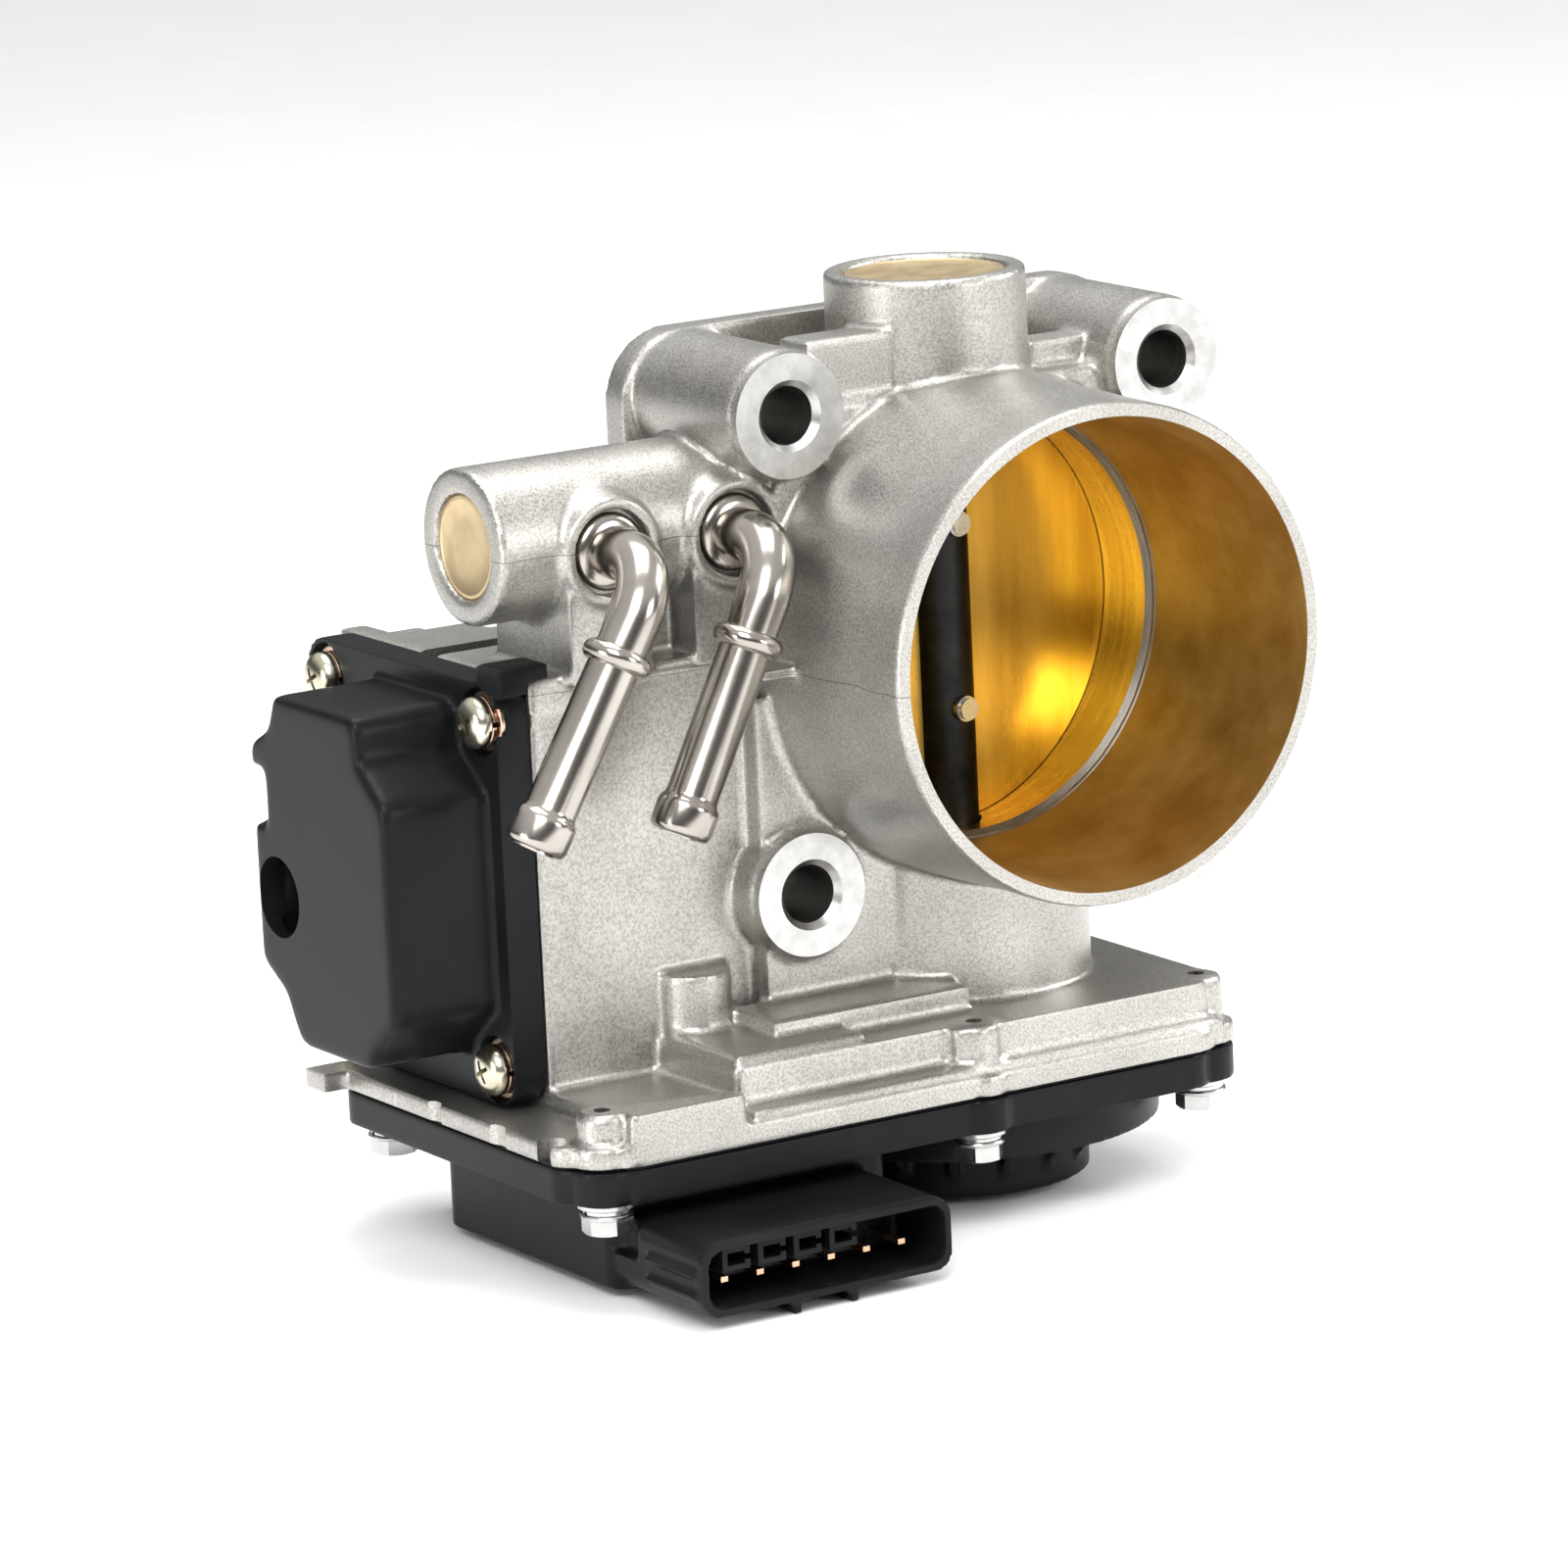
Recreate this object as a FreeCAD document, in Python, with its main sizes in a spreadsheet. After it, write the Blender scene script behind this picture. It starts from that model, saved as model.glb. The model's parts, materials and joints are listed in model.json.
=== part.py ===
"""Electronic throttle body: die-cast housing, butterfly on a vertical shaft, geared motor drive.

Frame: origin on the bore axis at the rear mounting face, +Y towards the engine, the inlet mouth
towards -Y, +X to the right of the mouth, +Z up. Millimetres.
"""
import FreeCAD, Part
import math
import os
import re

import Sketcher
from FreeCAD import Placement, Rotation, Vector

# Driving dimensions. Distances forward of the mounting face are positive numbers used as -y.
SIZES = {
    # bore and inlet spigot
    "bore_radius": 33.0, "mouth_radius": 36.0, "spigot_radius": 38.2, "spigot_root": 40.0,
    "spigot_straight": 10.0, "mouth_depth": 67.7, "shoulder_depth": 29.0, "pad_depth": 35.0, "body_depth": 32.0,
    # mounting flange and its four bolts
    "flange_thick": 5.5, "flange_half_wide": 45.8, "flange_half_tall": 47.0, "flange_corner": 11.0,
    "bolt_across": 34.29, "bolt_up": 36.78, "bolt_hole": 4.5, "pad_radius": 9.53, "column_radius": 10.0,
    # throttle shaft, plate and bearings
    "shaft_depth": 20.5, "shaft_radius": 5.0, "plate_thick": 2.0, "plate_tilt": 7.0, "plate_gap": 0.12,
    "bearing_outer": 9.0, "ball_bearing_outer": 11.0, "running_gap": 0.03,
    "shaft_top": 45.0, "shaft_bottom": -79.0, "upper_bearing_low": 37.0, "upper_bearing_tall": 8.0,
    "lower_bearing_low": -51.0, "lower_bearing_tall": 7.0, "seal_tall": 2.5,
    # shaft bosses and cup plugs
    "top_boss_radius": 15.5, "top_boss_high": 53.9, "top_plug_radius": 12.46, "plug_thick": 2.0,
    "lower_boss_radius": 21.5, "side_boss_radius": 12.0, "side_boss_end": 82.0, "side_boss_depth": 17.5,
    "side_boss_high": 21.0, "side_plug_radius": 8.0, "plug_recess": 0.6,
    # coolant pipes
    "pipe_radius": 4.0, "pipe_bore": 2.9, "pipe_bend": 9.0, "pipe_high": 19.5, "pipe_face_depth": 28.2, "pipe_lobe_depth": 31.0, "pipe_recess": 6.5,
    "pipe_leg_depth": 43.5, "pipe_lobe": 8.0, "pipe_left": 63.5, "pipe_right": 41.8,
    "pipe_left_lean": 31.2, "pipe_right_lean": 26.7, "pipe_leg": 46.0, "pipe_bead": 15.3,
    "pipe_collar_radius": 6.0, "pipe_collar_thick": 1.6, "pipe_seat_depth": 9.0,
    # motor box
    "box_side": 77.5, "box_front": 27.5, "box_top": 1.5, "box_inner_side": 41.0, "box_rear": 20.0,
    "wall": 3.0, "rim_rear": 30.0, "rim_low": -63.5, "rim_thick": 4.5,
    # gear case
    "case_top": -57.0, "case_roof": -60.0, "case_ledge": -64.2, "case_joint": -67.3,
    "case_front": 55.8, "case_left": 89.0, "case_right": 31.0, "case_rear": 21.0, "case_wall": 3.2,
    "gasket_thick": 0.5, "cover_low": -73.2, "cover_skin": 2.3, "cover_inset": 0.8,
    "ring_radius": 31.2, "ring_low": -79.6, "sensor_ring_radius": 20.0, "sensor_ring_low": -88.4,
    "post_radius": 5.8, "screw_column": 4.0,
    # drive train
    "module": 0.8, "sector_teeth": 70, "idler_small_teeth": 20, "idler_big_teeth": 64, "motor_teeth": 14,
    "motor_across": 65.0, "motor_depth": 3.5, "motor_radius": 16.0, "motor_well": 16.3,
    "motor_low": -60.0, "motor_high": -8.5, "travel": 83.0,
    "sector_low": -76.6, "sector_thick": 5.6, "big_gear_low": -68.5, "big_gear_thick": 5.5,
    # motor cover
    "cover_flange": 6.0, "seat_drop": 2.0, "bulge_side": 101.5, "bulge_skin": 2.2,
}

DOC = FreeCAD.newDocument("throttle_body")
NODES = []


def write_sheet():
    """Put every driving dimension in the spreadsheet, under its alias."""
    sheet = DOC.addObject("Spreadsheet::Sheet", "Sizes")
    for row, (alias, value) in enumerate(SIZES.items(), start=1):
        sheet.set(f"A{row}", alias)
        sheet.set(f"B{row}", str(value))
        sheet.setAlias(f"B{row}", alias)
    DOC.recompute()
    return sheet


SHEET = write_sheet()


def size(alias):
    """A driving dimension as a plain number."""
    return float(getattr(SHEET, alias))


def formula(text):
    """The expression with each alias written as a cell of the sheet."""
    return re.sub(r"[a-z_]+", lambda m: "Sizes." + m[0] if m[0] in SIZES else m[0], str(text))


def value(text):
    """The number that an expression on the sheet stands for."""
    names = {alias: size(alias) for alias in SIZES}
    total = FreeCAD.Units.Quantity(re.sub(r"[a-z_]+", lambda m: repr(names.get(m[0], 0.0)), str(text)))
    return float(total.Value)


def bind(obj, **expressions):
    """Bind properties of one object to expressions on the sheet."""
    for prop, text in expressions.items():
        obj.setExpression(prop.replace("__", "."), formula(text))
    return obj


def place(obj, x, y, z):
    """Bind an object's position to expressions on the sheet."""
    return bind(obj, Placement__Base__x=x, Placement__Base__y=y, Placement__Base__z=z)


def turn(obj, rotation):
    """Set an object's direction, kept apart from its bound position."""
    obj.Placement = Placement(obj.Placement.Base, rotation)
    return obj


AXIS_TURN = {
    "Z": Rotation(),
    "X": Rotation(Vector(0, 1, 0), 90),
    "Y": Rotation(Vector(1, 0, 0), -90),
}


def block(name, x_low, x_high, y_low, y_high, z_low, z_high):
    """A box between two planes on each axis."""
    box = DOC.addObject("Part::Box", name)
    bind(
        box,
        Length=f"({x_high}) - ({x_low})",
        Width=f"({y_high}) - ({y_low})",
        Height=f"({z_high}) - ({z_low})",
    )
    return place(box, x_low, y_low, z_low)


def cylinder(name, radius, length, x, y, z, axis="Z"):
    """A cylinder that starts at a point and runs along a positive axis."""
    rod = DOC.addObject("Part::Cylinder", name)
    turn(rod, AXIS_TURN[axis])
    bind(rod, Radius=radius, Height=length)
    return place(rod, x, y, z)


def cone(name, radius_start, radius_end, length, x, y, z, axis="Z"):
    """A cone frustum that starts at a point and runs along a positive axis."""
    taper = DOC.addObject("Part::Cone", name)
    turn(taper, AXIS_TURN[axis])
    bind(taper, Radius1=radius_start, Radius2=radius_end, Height=length)
    return place(taper, x, y, z)


def fuse(name, shapes):
    """One solid from several."""
    union = DOC.addObject("Part::MultiFuse", name)
    union.Shapes = shapes
    union.Refine = False
    return union


def cut(name, base, tools):
    """A base with tools taken away one after another."""
    result = base
    for number, tool in enumerate(tools):
        step = DOC.addObject("Part::Cut", f"{name}_{number}")
        step.Base = result
        step.Tool = tool
        step.Refine = False
        result = step
    return result


def common(name, first, second):
    """The part that two solids share."""
    result = DOC.addObject("Part::Common", name)
    result.Base = first
    result.Tool = second
    return result


def group(name, shapes):
    """Separate solids kept together in one node."""
    bundle = DOC.addObject("Part::Compound", name)
    bundle.Links = shapes
    return bundle


def node(obj, label):
    """Name a finished piece and list it for export."""
    obj.Label = label
    NODES.append(obj)
    return obj


def feature(name, shape, x="0", y="0", z="0"):
    """A shape made with Part's own functions, then placed."""
    made = DOC.addObject("Part::Feature", name)
    made.Shape = shape
    return place(made, x, y, z)


def origin_plane(body, role):
    """One of a body's own origin planes."""
    return next(item for item in body.Origin.OriginFeatures if item.Role == role)


def outline_sketch(body, name, role, corners, level):
    """A closed polygon whose every corner is bound to the sheet, on an origin plane at a level."""
    sketch = body.newObject("Sketcher::SketchObject", name)
    sketch.AttachmentSupport = (origin_plane(body, role), [""])
    sketch.MapMode = "FlatFace"
    sketch.setExpression("AttachmentOffset.Base.z", formula(level))
    points = [Vector(value(u), value(v), 0) for u, v in corners]
    for index, start in enumerate(points):
        end = points[(index + 1) % len(points)]
        sketch.addGeometry(Part.LineSegment(start, end), False)
    count = len(points)
    for index in range(count):
        sketch.addConstraint(Sketcher.Constraint("Coincident", index, 2, (index + 1) % count, 1))
    for index, corner in enumerate(corners):
        for kind, text in zip(("DistanceX", "DistanceY"), corner):
            number = sketch.addConstraint(Sketcher.Constraint(kind, -1, 1, index, 1, value(text)))
            if abs(value(text)) > 1e-6:
                sketch.setExpression(f"Constraints[{number}]", formula(text))
    return sketch


def upright_edges(shape, direction):
    """Names of the straight edges that run along a direction."""
    names = []
    for index, edge in enumerate(shape.Edges, start=1):
        straight = isinstance(edge.Curve, Part.Line)
        if straight and abs(edge.tangentAt(edge.FirstParameter).dot(direction)) > 0.999:
            names.append(f"Edge{index}")
    return names


PLANE_NORMAL = {
    "XY_Plane": Vector(0, 0, 1),
    "XZ_Plane": Vector(0, -1, 0),
    "YZ_Plane": Vector(1, 0, 0),
}


def slab(name, role, corners, level, thick, corner_radius=None):
    """A flat polygon plate with rounded upright edges, raised from a level on an origin plane."""
    body = DOC.addObject("PartDesign::Body", name)
    sketch = outline_sketch(body, name + "_outline", role, corners, level)
    pad = body.newObject("PartDesign::Pad", name + "_pad")
    pad.Profile = sketch
    pad.setExpression("Length", formula(thick))
    DOC.recompute()
    if corner_radius:
        rounded = body.newObject("PartDesign::Fillet", name + "_corners")
        rounded.Base = (pad, upright_edges(pad.Shape, PLANE_NORMAL[role]))
        rounded.setExpression("Radius", formula(corner_radius))
        DOC.recompute()
    return body


# ---------------------------------------------------------------- places worked out from the sheet

SHAFT = Vector(0, -size("shaft_depth"), 0)
MOTOR = Vector(-size("motor_across"), -size("motor_depth"), 0)
IDLER_DISTANCE = size("module") * (size("sector_teeth") + size("idler_small_teeth")) / 2
IDLER = SHAFT + (MOTOR - SHAFT).normalize() * IDLER_DISTANCE
MESH_ANGLE = math.degrees(math.atan2(MOTOR.y - SHAFT.y, MOTOR.x - SHAFT.x))
COVER_SCREWS = [(-81.3, -49.0), (-16.5, -51.0), (26.6, -48.2), (-82.0, 13.7), (-22.0, 17.0), (5.0, 14.5),
                (26.5, 3.0)]
MOUNT_SCREWS = [(-51.5, -19.5), (-51.5, 12.5)]
STOP_ANGLE = math.radians(MESH_ANGLE - size("travel") - 17)
STOP = SHAFT + Vector(math.cos(STOP_ANGLE), math.sin(STOP_ANGLE), 0) * 21
MOTOR_COVER_SCREWS = [(-22.5, -4.5), (-22.0, -58.0), (24.3, -4.5), (24.3, -58.0)]
BOLTS = [(across, up) for across in (-1, 1) for up in (-1, 1)]
CASE_OUTLINE = [
    ("-case_left + 8.5", "-case_front"), ("case_right - 7", "-case_front"),
    ("case_right", "-case_front + 7"), ("case_right", "case_rear - 13"),
    ("case_right - 15", "case_rear"), ("-case_left", "case_rear"),
    ("-case_left", "-case_front + 8"),
]


def inset_outline(inset):
    """The gear case outline moved inwards by an amount on every side."""
    moved = []
    for u, v in CASE_OUTLINE:
        shift_u = f" + ({inset})" if value(u) < 0 else f" - ({inset})"
        shift_v = f" + ({inset})" if value(v) < 0 else f" - ({inset})"
        moved.append((u + shift_u, v + shift_v))
    return moved


# ---------------------------------------------------------------- housing


def housing_cast():
    """The casting's outside as one solid: tube, flange, columns, bosses, motor box and gear case."""
    shapes = [
        cylinder("spigot", "spigot_radius", "spigot_straight", "0", "-mouth_depth", "0", "Y"),
        cone("inlet_tube", "spigot_radius", "spigot_root", "mouth_depth - spigot_straight - 3", "0",
             "-mouth_depth + spigot_straight", "0", "Y"),
        slab(
            "rear_flange", "XZ_Plane",
            [("-flange_half_wide", "-flange_half_tall"), ("flange_half_wide", "-flange_half_tall"),
             ("flange_half_wide", "flange_half_tall"), ("-flange_half_wide", "flange_half_tall")],
            "0", "flange_thick", "flange_corner",
        ),
        block("square_body", "-bolt_across", "bolt_across", "-31", "-3", "-bolt_up", "bolt_up"),
        block("left_web", "-box_inner_side", "-15", "-body_depth", "-3", "case_roof", "-6"),
        cylinder("lower_boss", "lower_boss_radius", "34", "0", "-shaft_depth", "case_top - 1"),
        cylinder("top_boss", "top_boss_radius", "top_boss_high - 28", "0", "-shaft_depth", "28"),
        block("top_web", "-27.6", "-12", "-30", "-22", "35.5", "46.6"),
        block("top_web_right", "12", "bolt_across", "-27", "-20", "30", "41"),
        block("coolant_shelf", "-45", "-30", "-41", "-30", "-1.6", "0"),
        cylinder("side_boss", "side_boss_radius", "side_boss_end - 33", "-side_boss_end", "-side_boss_depth",
                 "side_boss_high", "X"),
        block("side_boss_web", "-71", "-33", "-22.5", "-7", "0", "side_boss_high - 8"),
    ]
    for across, up in BOLTS:
        x, z = f"{across} * bolt_across", f"{up} * bolt_up"
        shapes.append(cylinder("column", "column_radius", "body_depth", x, "-body_depth - 1", z, "Y"))
        shapes.append(cylinder("pad", "pad_radius", "8", x, "-pad_depth", z, "Y"))
    for place_x in ("-pipe_left", "-pipe_right"):
        shapes.append(cone("pipe_lobe", "pipe_lobe", "pipe_lobe + 2.4", "6", place_x, "-pipe_lobe_depth",
                           "pipe_high", "Y"))
        shapes.append(block("pipe_rib", place_x + " - pipe_lobe + 0.6", place_x + " + pipe_lobe - 1.0",
                            "-pipe_lobe_depth + 1.6", "-7", "0", "pipe_high"))
    return shapes + motor_box_cast() + gear_case_cast()


def motor_box_cast():
    """The motor box beside the bore, with the round motor well and the rim for its side cover."""
    return [
        block("box_front_part", "-box_side", "-box_inner_side", "-box_front", "0", "case_ledge", "box_top"),
        block("box_rear_part", "-box_side", "-60", "-1", "box_rear", "case_ledge", "box_top"),
        cylinder("motor_well_wall", "motor_well + 2.3", "box_top - case_ledge", "-motor_across", "-motor_depth",
                 "case_ledge"),
        block("box_rim", "-box_side", "-box_side + rim_thick", "-box_front", "rim_rear", "rim_low", "box_top"),
        block("box_ledge", "-box_side + 6", "-box_inner_side - 5", "-box_front - 1", "-box_front + 1", "0.2",
              "box_top"),
        cylinder("post", "post_radius", "18", "-51.9", "-28", "-64.5"),
    ]


def gear_case_cast():
    """The lower flange and the stepped roof of the gear case."""
    shapes = [
        slab("case_flange", "XY_Plane", CASE_OUTLINE, "case_joint", "case_ledge - case_joint", "4"),
        block("case_lip", "-58.5", "case_right - 4", "-case_front + 0.9", "case_rear - 6", "case_ledge", "-62.6"),
        slab(
            "case_roof_slab", "XY_Plane",
            [("-58.5", "-50.5"), ("-21", "-50.5"), ("-21", "-53.5"), ("24.5", "-53.5"), ("29.5", "-47"),
             ("29.5", "5"), ("14", "19"), ("-58.5", "19")],
            "-63", "case_top + 63", "1.2",
        ),
        block("case_step_low", "-58", "-35", "-49.6", "-30", "-58", "-55.4"),
        block("case_step_high", "-47", "-12", "-43.2", "-30", "-58", "-53"),
        block("case_roof_left", "-77.4", "-58", "-49.5", "case_rear - 2", "-64.5", "-61.6"),
        slab(
            "corner_block", "XY_Plane",
            [("-80.5", "-case_front"), ("-60", "-case_front"), ("-60", "-52"), ("-78", "-48.5")],
            "-65", "5.6", "0.8",
        ),
        block("rear_lug", "-93", "-86", "15", "case_rear", "case_joint", "case_ledge"),
    ]
    for index, (x, y) in enumerate(COVER_SCREWS):
        high = "-59.5" if index in (0, 1) else "-57.5"
        if index not in (2, 3):
            shapes.append(cylinder("screw_boss", "2.9", f"{high} + 66", x, y, "-66"))
        shapes.append(cylinder("screw_ear", "5.6", "case_ledge - case_joint", x, y, "case_joint"))
    return shapes


def housing_cavities():
    """What is taken out of the casting: bore, holes, pockets and the insides of both cases."""
    tools = [
        cylinder("bore", "bore_radius", "shoulder_depth + 2", "0", "-shoulder_depth - 1", "0", "Y"),
        cone("bore_lead", "bore_radius + 1.2", "bore_radius", "1.6", "0", "-shoulder_depth - 0.9", "0", "Y"),
        cylinder("inlet", "mouth_radius", "mouth_depth - shoulder_depth + 0.5", "0", "-mouth_depth - 1", "0", "Y"),
        cylinder("shaft_hole_top", "shaft_radius + 0.4", "14", "0", "-shaft_depth", "24"),
        cylinder("upper_bearing_seat", "bearing_outer", "20", "0", "-shaft_depth", "upper_bearing_low - seal_tall"),
        cylinder("top_plug_seat", "top_plug_radius", "6", "0", "-shaft_depth", "top_boss_high - 4"),
        cylinder("shaft_hole_low", "shaft_radius + 0.4", "40", "0", "-shaft_depth", "-65"),
        cylinder("lower_bearing_seat", "ball_bearing_outer", "lower_bearing_tall + seal_tall + 12", "0",
                 "-shaft_depth", "lower_bearing_low - 12"),
        cylinder("side_core", "side_plug_radius", "42", "-side_boss_end - 1", "-side_boss_depth",
                 "side_boss_high", "X"),
        block("box_inside", "-box_side - 1", "-motor_across", "-box_front + wall", "box_rear - wall", "case_top",
              "box_top - wall"),
        block("case_inside_left", "-75.5", "-50", "-box_front + wall", "case_rear - 5", "case_joint - 1",
              "case_roof"),
        block("case_inside_front", "-75.5", "-50", "-43", "-box_front + wall + 1", "case_joint - 1", "-64"),
        cylinder("big_gear_hollow", "27", "-62.4 - case_joint + 1", IDLER.x, IDLER.y, "case_joint - 1"),
        slab(
            "case_inside", "XY_Plane",
            [("-55.8", "-45.5"), ("-21", "-46.5"), ("-13", "-50.5"), ("21", "-50.5"), ("27.6", "-43"),
             ("27.6", "2"), ("13", "17.5"), ("-55.8", "17.5")],
            "case_joint - 1", "case_roof - case_joint + 1", "2",
        ),
    ]
    bores, chamfers = [], []
    for across, up in BOLTS:
        x, z = f"{across} * bolt_across", f"{up} * bolt_up"
        bores.append(cylinder("bolt_bore", "bolt_hole", "pad_depth + 2", x, "-pad_depth - 1", z, "Y"))
        chamfers.append(cone("bolt_chamfer", "bolt_hole + 1.2", "bolt_hole", "1.2", x, "-pad_depth - 0.2", z, "Y"))
    seats = [
        cylinder("pipe_seat", "pipe_radius", "12", place_x, "-pipe_face_depth - 1", "pipe_high", "Y")
        for place_x in ("-pipe_left", "-pipe_right")
    ]
    recesses = [
        cylinder("pipe_collar_recess", "pipe_recess", "pipe_lobe_depth - pipe_face_depth + 1", place_x,
                 "-pipe_lobe_depth - 1", "pipe_high", "Y")
        for place_x in ("-pipe_left", "-pipe_right")
    ]
    side = block("box_side_plane", "-95", "-box_side", "-34", "34", "case_ledge + 0.1", "box_top + 0.1")
    return tools + [group("bolt_bores", bores + seats), group("bolt_chamfers", chamfers), side,
                    group("collar_recesses", recesses)]


def housing():
    """The casting with its cavities, its inner screw columns and its threaded holes."""
    rough = cut("housing_rough", fuse("housing_outside", housing_cast()), housing_cavities())
    columns = [
        cylinder("case_column", "screw_column", f"case_ledge - case_joint + {0 if index == 3 else 3}", x, y,
                 "case_joint")
        for index, (x, y) in enumerate(COVER_SCREWS)
    ]
    columns += [
        cylinder("rim_column", "5.2", "11.5", "-box_side", y, z, "X") for y, z in MOTOR_COVER_SCREWS
    ]
    columns.append(cylinder("axle_boss", "4.5", "4", IDLER.x, IDLER.y, "-62.4"))
    threads = [cylinder("case_thread", "1.7", "7", x, y, "case_joint - 1") for x, y in COVER_SCREWS]
    threads += [
        cylinder("rim_thread", "1.7", "11", "-box_side - 1", y, z, "X") for y, z in MOTOR_COVER_SCREWS
    ]
    threads.append(cylinder("axle_seat", "2.0", "6", IDLER.x, IDLER.y, "-64"))
    threads.append(cylinder("stop_seat", "2.4", "2.4", STOP.x, STOP.y, "case_roof - 0.8"))
    threads += [cylinder("mount_thread", "1.25", "3.5", x, y, "case_roof - 1") for x, y in MOUNT_SCREWS]
    full = fuse("housing_columns", [rough] + columns)
    late = [
        cylinder("motor_well_clear", "motor_well", "64", "-motor_across", "-motor_depth", "-66"),
        cylinder("mount_clear", "motor_well + 2.4", "2", "-motor_across", "-motor_depth", "case_roof - 2"),
    ]
    node(cut("housing", full, late + [group("housing_threads", threads)]), "throttle_housing")


# ---------------------------------------------------------------- shaft group


def ring(name, outer, inner, length, x, y, z, axis="Z"):
    """A tube made of a cylinder less its bore."""
    return cut(
        name,
        cylinder(name + "_outer", outer, length, x, y, z, axis),
        [cylinder(name + "_inner", inner, f"({length}) + 2", x, y, f"({z}) - 1", axis)],
    )


def throttle_shaft():
    """The shaft, half cut away where the plate lies against it, with two screw holes."""
    rod = cylinder("shaft_rod", "shaft_radius", "shaft_top - shaft_bottom", "0", "-shaft_depth", "shaft_bottom")
    tilt = Rotation(Vector(0, 0, 1), size("plate_tilt"))
    half = size("bore_radius") + 0.4
    notch = Part.makeBox(14, 8, 2 * half, Vector(-7, -size("plate_thick") / 2, -half))
    seat = turn(feature("plate_seat", notch, "0", "-shaft_depth"), tilt)
    node(cut("shaft", rod, [seat] + plate_screw_holes("shaft_screw_hole")), "throttle_shaft")


def plate_frame(x, y, z):
    """A point given along the tilted plate, across it and up, as a place in the part's frame."""
    return SHAFT + Rotation(Vector(0, 0, 1), size("plate_tilt")).multVec(Vector(x, y, z))


def tilted_rod(name, radius, length, start_y, z):
    """A rod square to the plate, at a height."""
    rod = cylinder(name, radius, length, "0", "0", "0", "Y")
    spot = plate_frame(0, start_y, z)
    turn(rod, Rotation(Vector(0, 0, 1), size("plate_tilt")).multiply(AXIS_TURN["Y"]))
    return place(rod, spot.x, spot.y, spot.z)


PLATE_SCREWS = (-14.5, 14.5)


def plate_screw_holes(name):
    """The two clearance holes that the plate screws pass through."""
    return [tilted_rod(name, 2.05, 20, -10, z) for z in PLATE_SCREWS]


def throttle_plate():
    """The butterfly: a tilted sheet trimmed by the bore, so that its edge is bevelled to seal."""
    thick = size("plate_thick")
    sheet = feature("plate_sheet", Part.makeBox(80, thick, 80, Vector(-40, -thick / 2, -40)), "0",
                    "-shaft_depth")
    turn(sheet, Rotation(Vector(0, 0, 1), size("plate_tilt")))
    trim = cylinder("plate_trim", "bore_radius - plate_gap", "40", "0", "-shaft_depth - 20", "0", "Y")
    node(cut("plate", common("plate_disc", sheet, trim), plate_screw_holes("plate_hole")), "throttle_plate")


def plate_screws():
    """Two screws from behind the plate, with their ends staked over the shaft's front."""
    screws = []
    for z in PLATE_SCREWS:
        stem = tilted_rod("plate_screw_stem", 2.0, 7.6, -5.9, z)
        head = tilted_rod("plate_screw_head", 3.6, 1.9, 1.05, z)
        staked = tilted_rod("plate_screw_end", 1.7, 1.0, -6.6, z)
        screws.append(fuse("plate_screw", [stem, head, staked]))
    node(group("plate_screw_pair", screws), "plate_screws")


def bearings_and_seals():
    """Needle bearing above, ball bearing below, and a lip seal on the bore side of each."""
    gap = "shaft_radius + running_gap"
    node(ring("upper_bearing_ring", "bearing_outer - 0.02", gap, "upper_bearing_tall", "0", "-shaft_depth",
              "upper_bearing_low"), "upper_needle_bearing")
    node(ring("lower_bearing_ring", "ball_bearing_outer - 0.02", gap, "lower_bearing_tall", "0", "-shaft_depth",
              "lower_bearing_low"), "lower_ball_bearing")
    node(ring("upper_seal_ring", "bearing_outer - 0.02", gap, "seal_tall - 0.1", "0", "-shaft_depth",
              "upper_bearing_low - seal_tall + 0.05"), "upper_shaft_seal")
    node(ring("lower_seal_ring", "ball_bearing_outer - 0.02", gap, "seal_tall - 0.1", "0", "-shaft_depth",
              "lower_bearing_low + lower_bearing_tall + 0.05"), "lower_shaft_seal")
    node(ring("bearing_clip", "ball_bearing_outer - 0.02", "shaft_radius + 2.2", "1.2", "0", "-shaft_depth",
              "lower_bearing_low - 1.25"), "bearing_retaining_ring")


def core_plugs():
    """The cup plugs that close the shaft boss and the coolant gallery."""
    node(cylinder("top_plug", "top_plug_radius - 0.03", "plug_thick", "0", "-shaft_depth",
                  "top_boss_high - plug_recess - plug_thick"), "top_cup_plug")
    node(cylinder("side_plug", "side_plug_radius - 0.01", "plug_thick", "-side_boss_end + plug_recess",
                  "-side_boss_depth", "side_boss_high", "X"), "side_cup_plug")


# ---------------------------------------------------------------- coolant pipes


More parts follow.
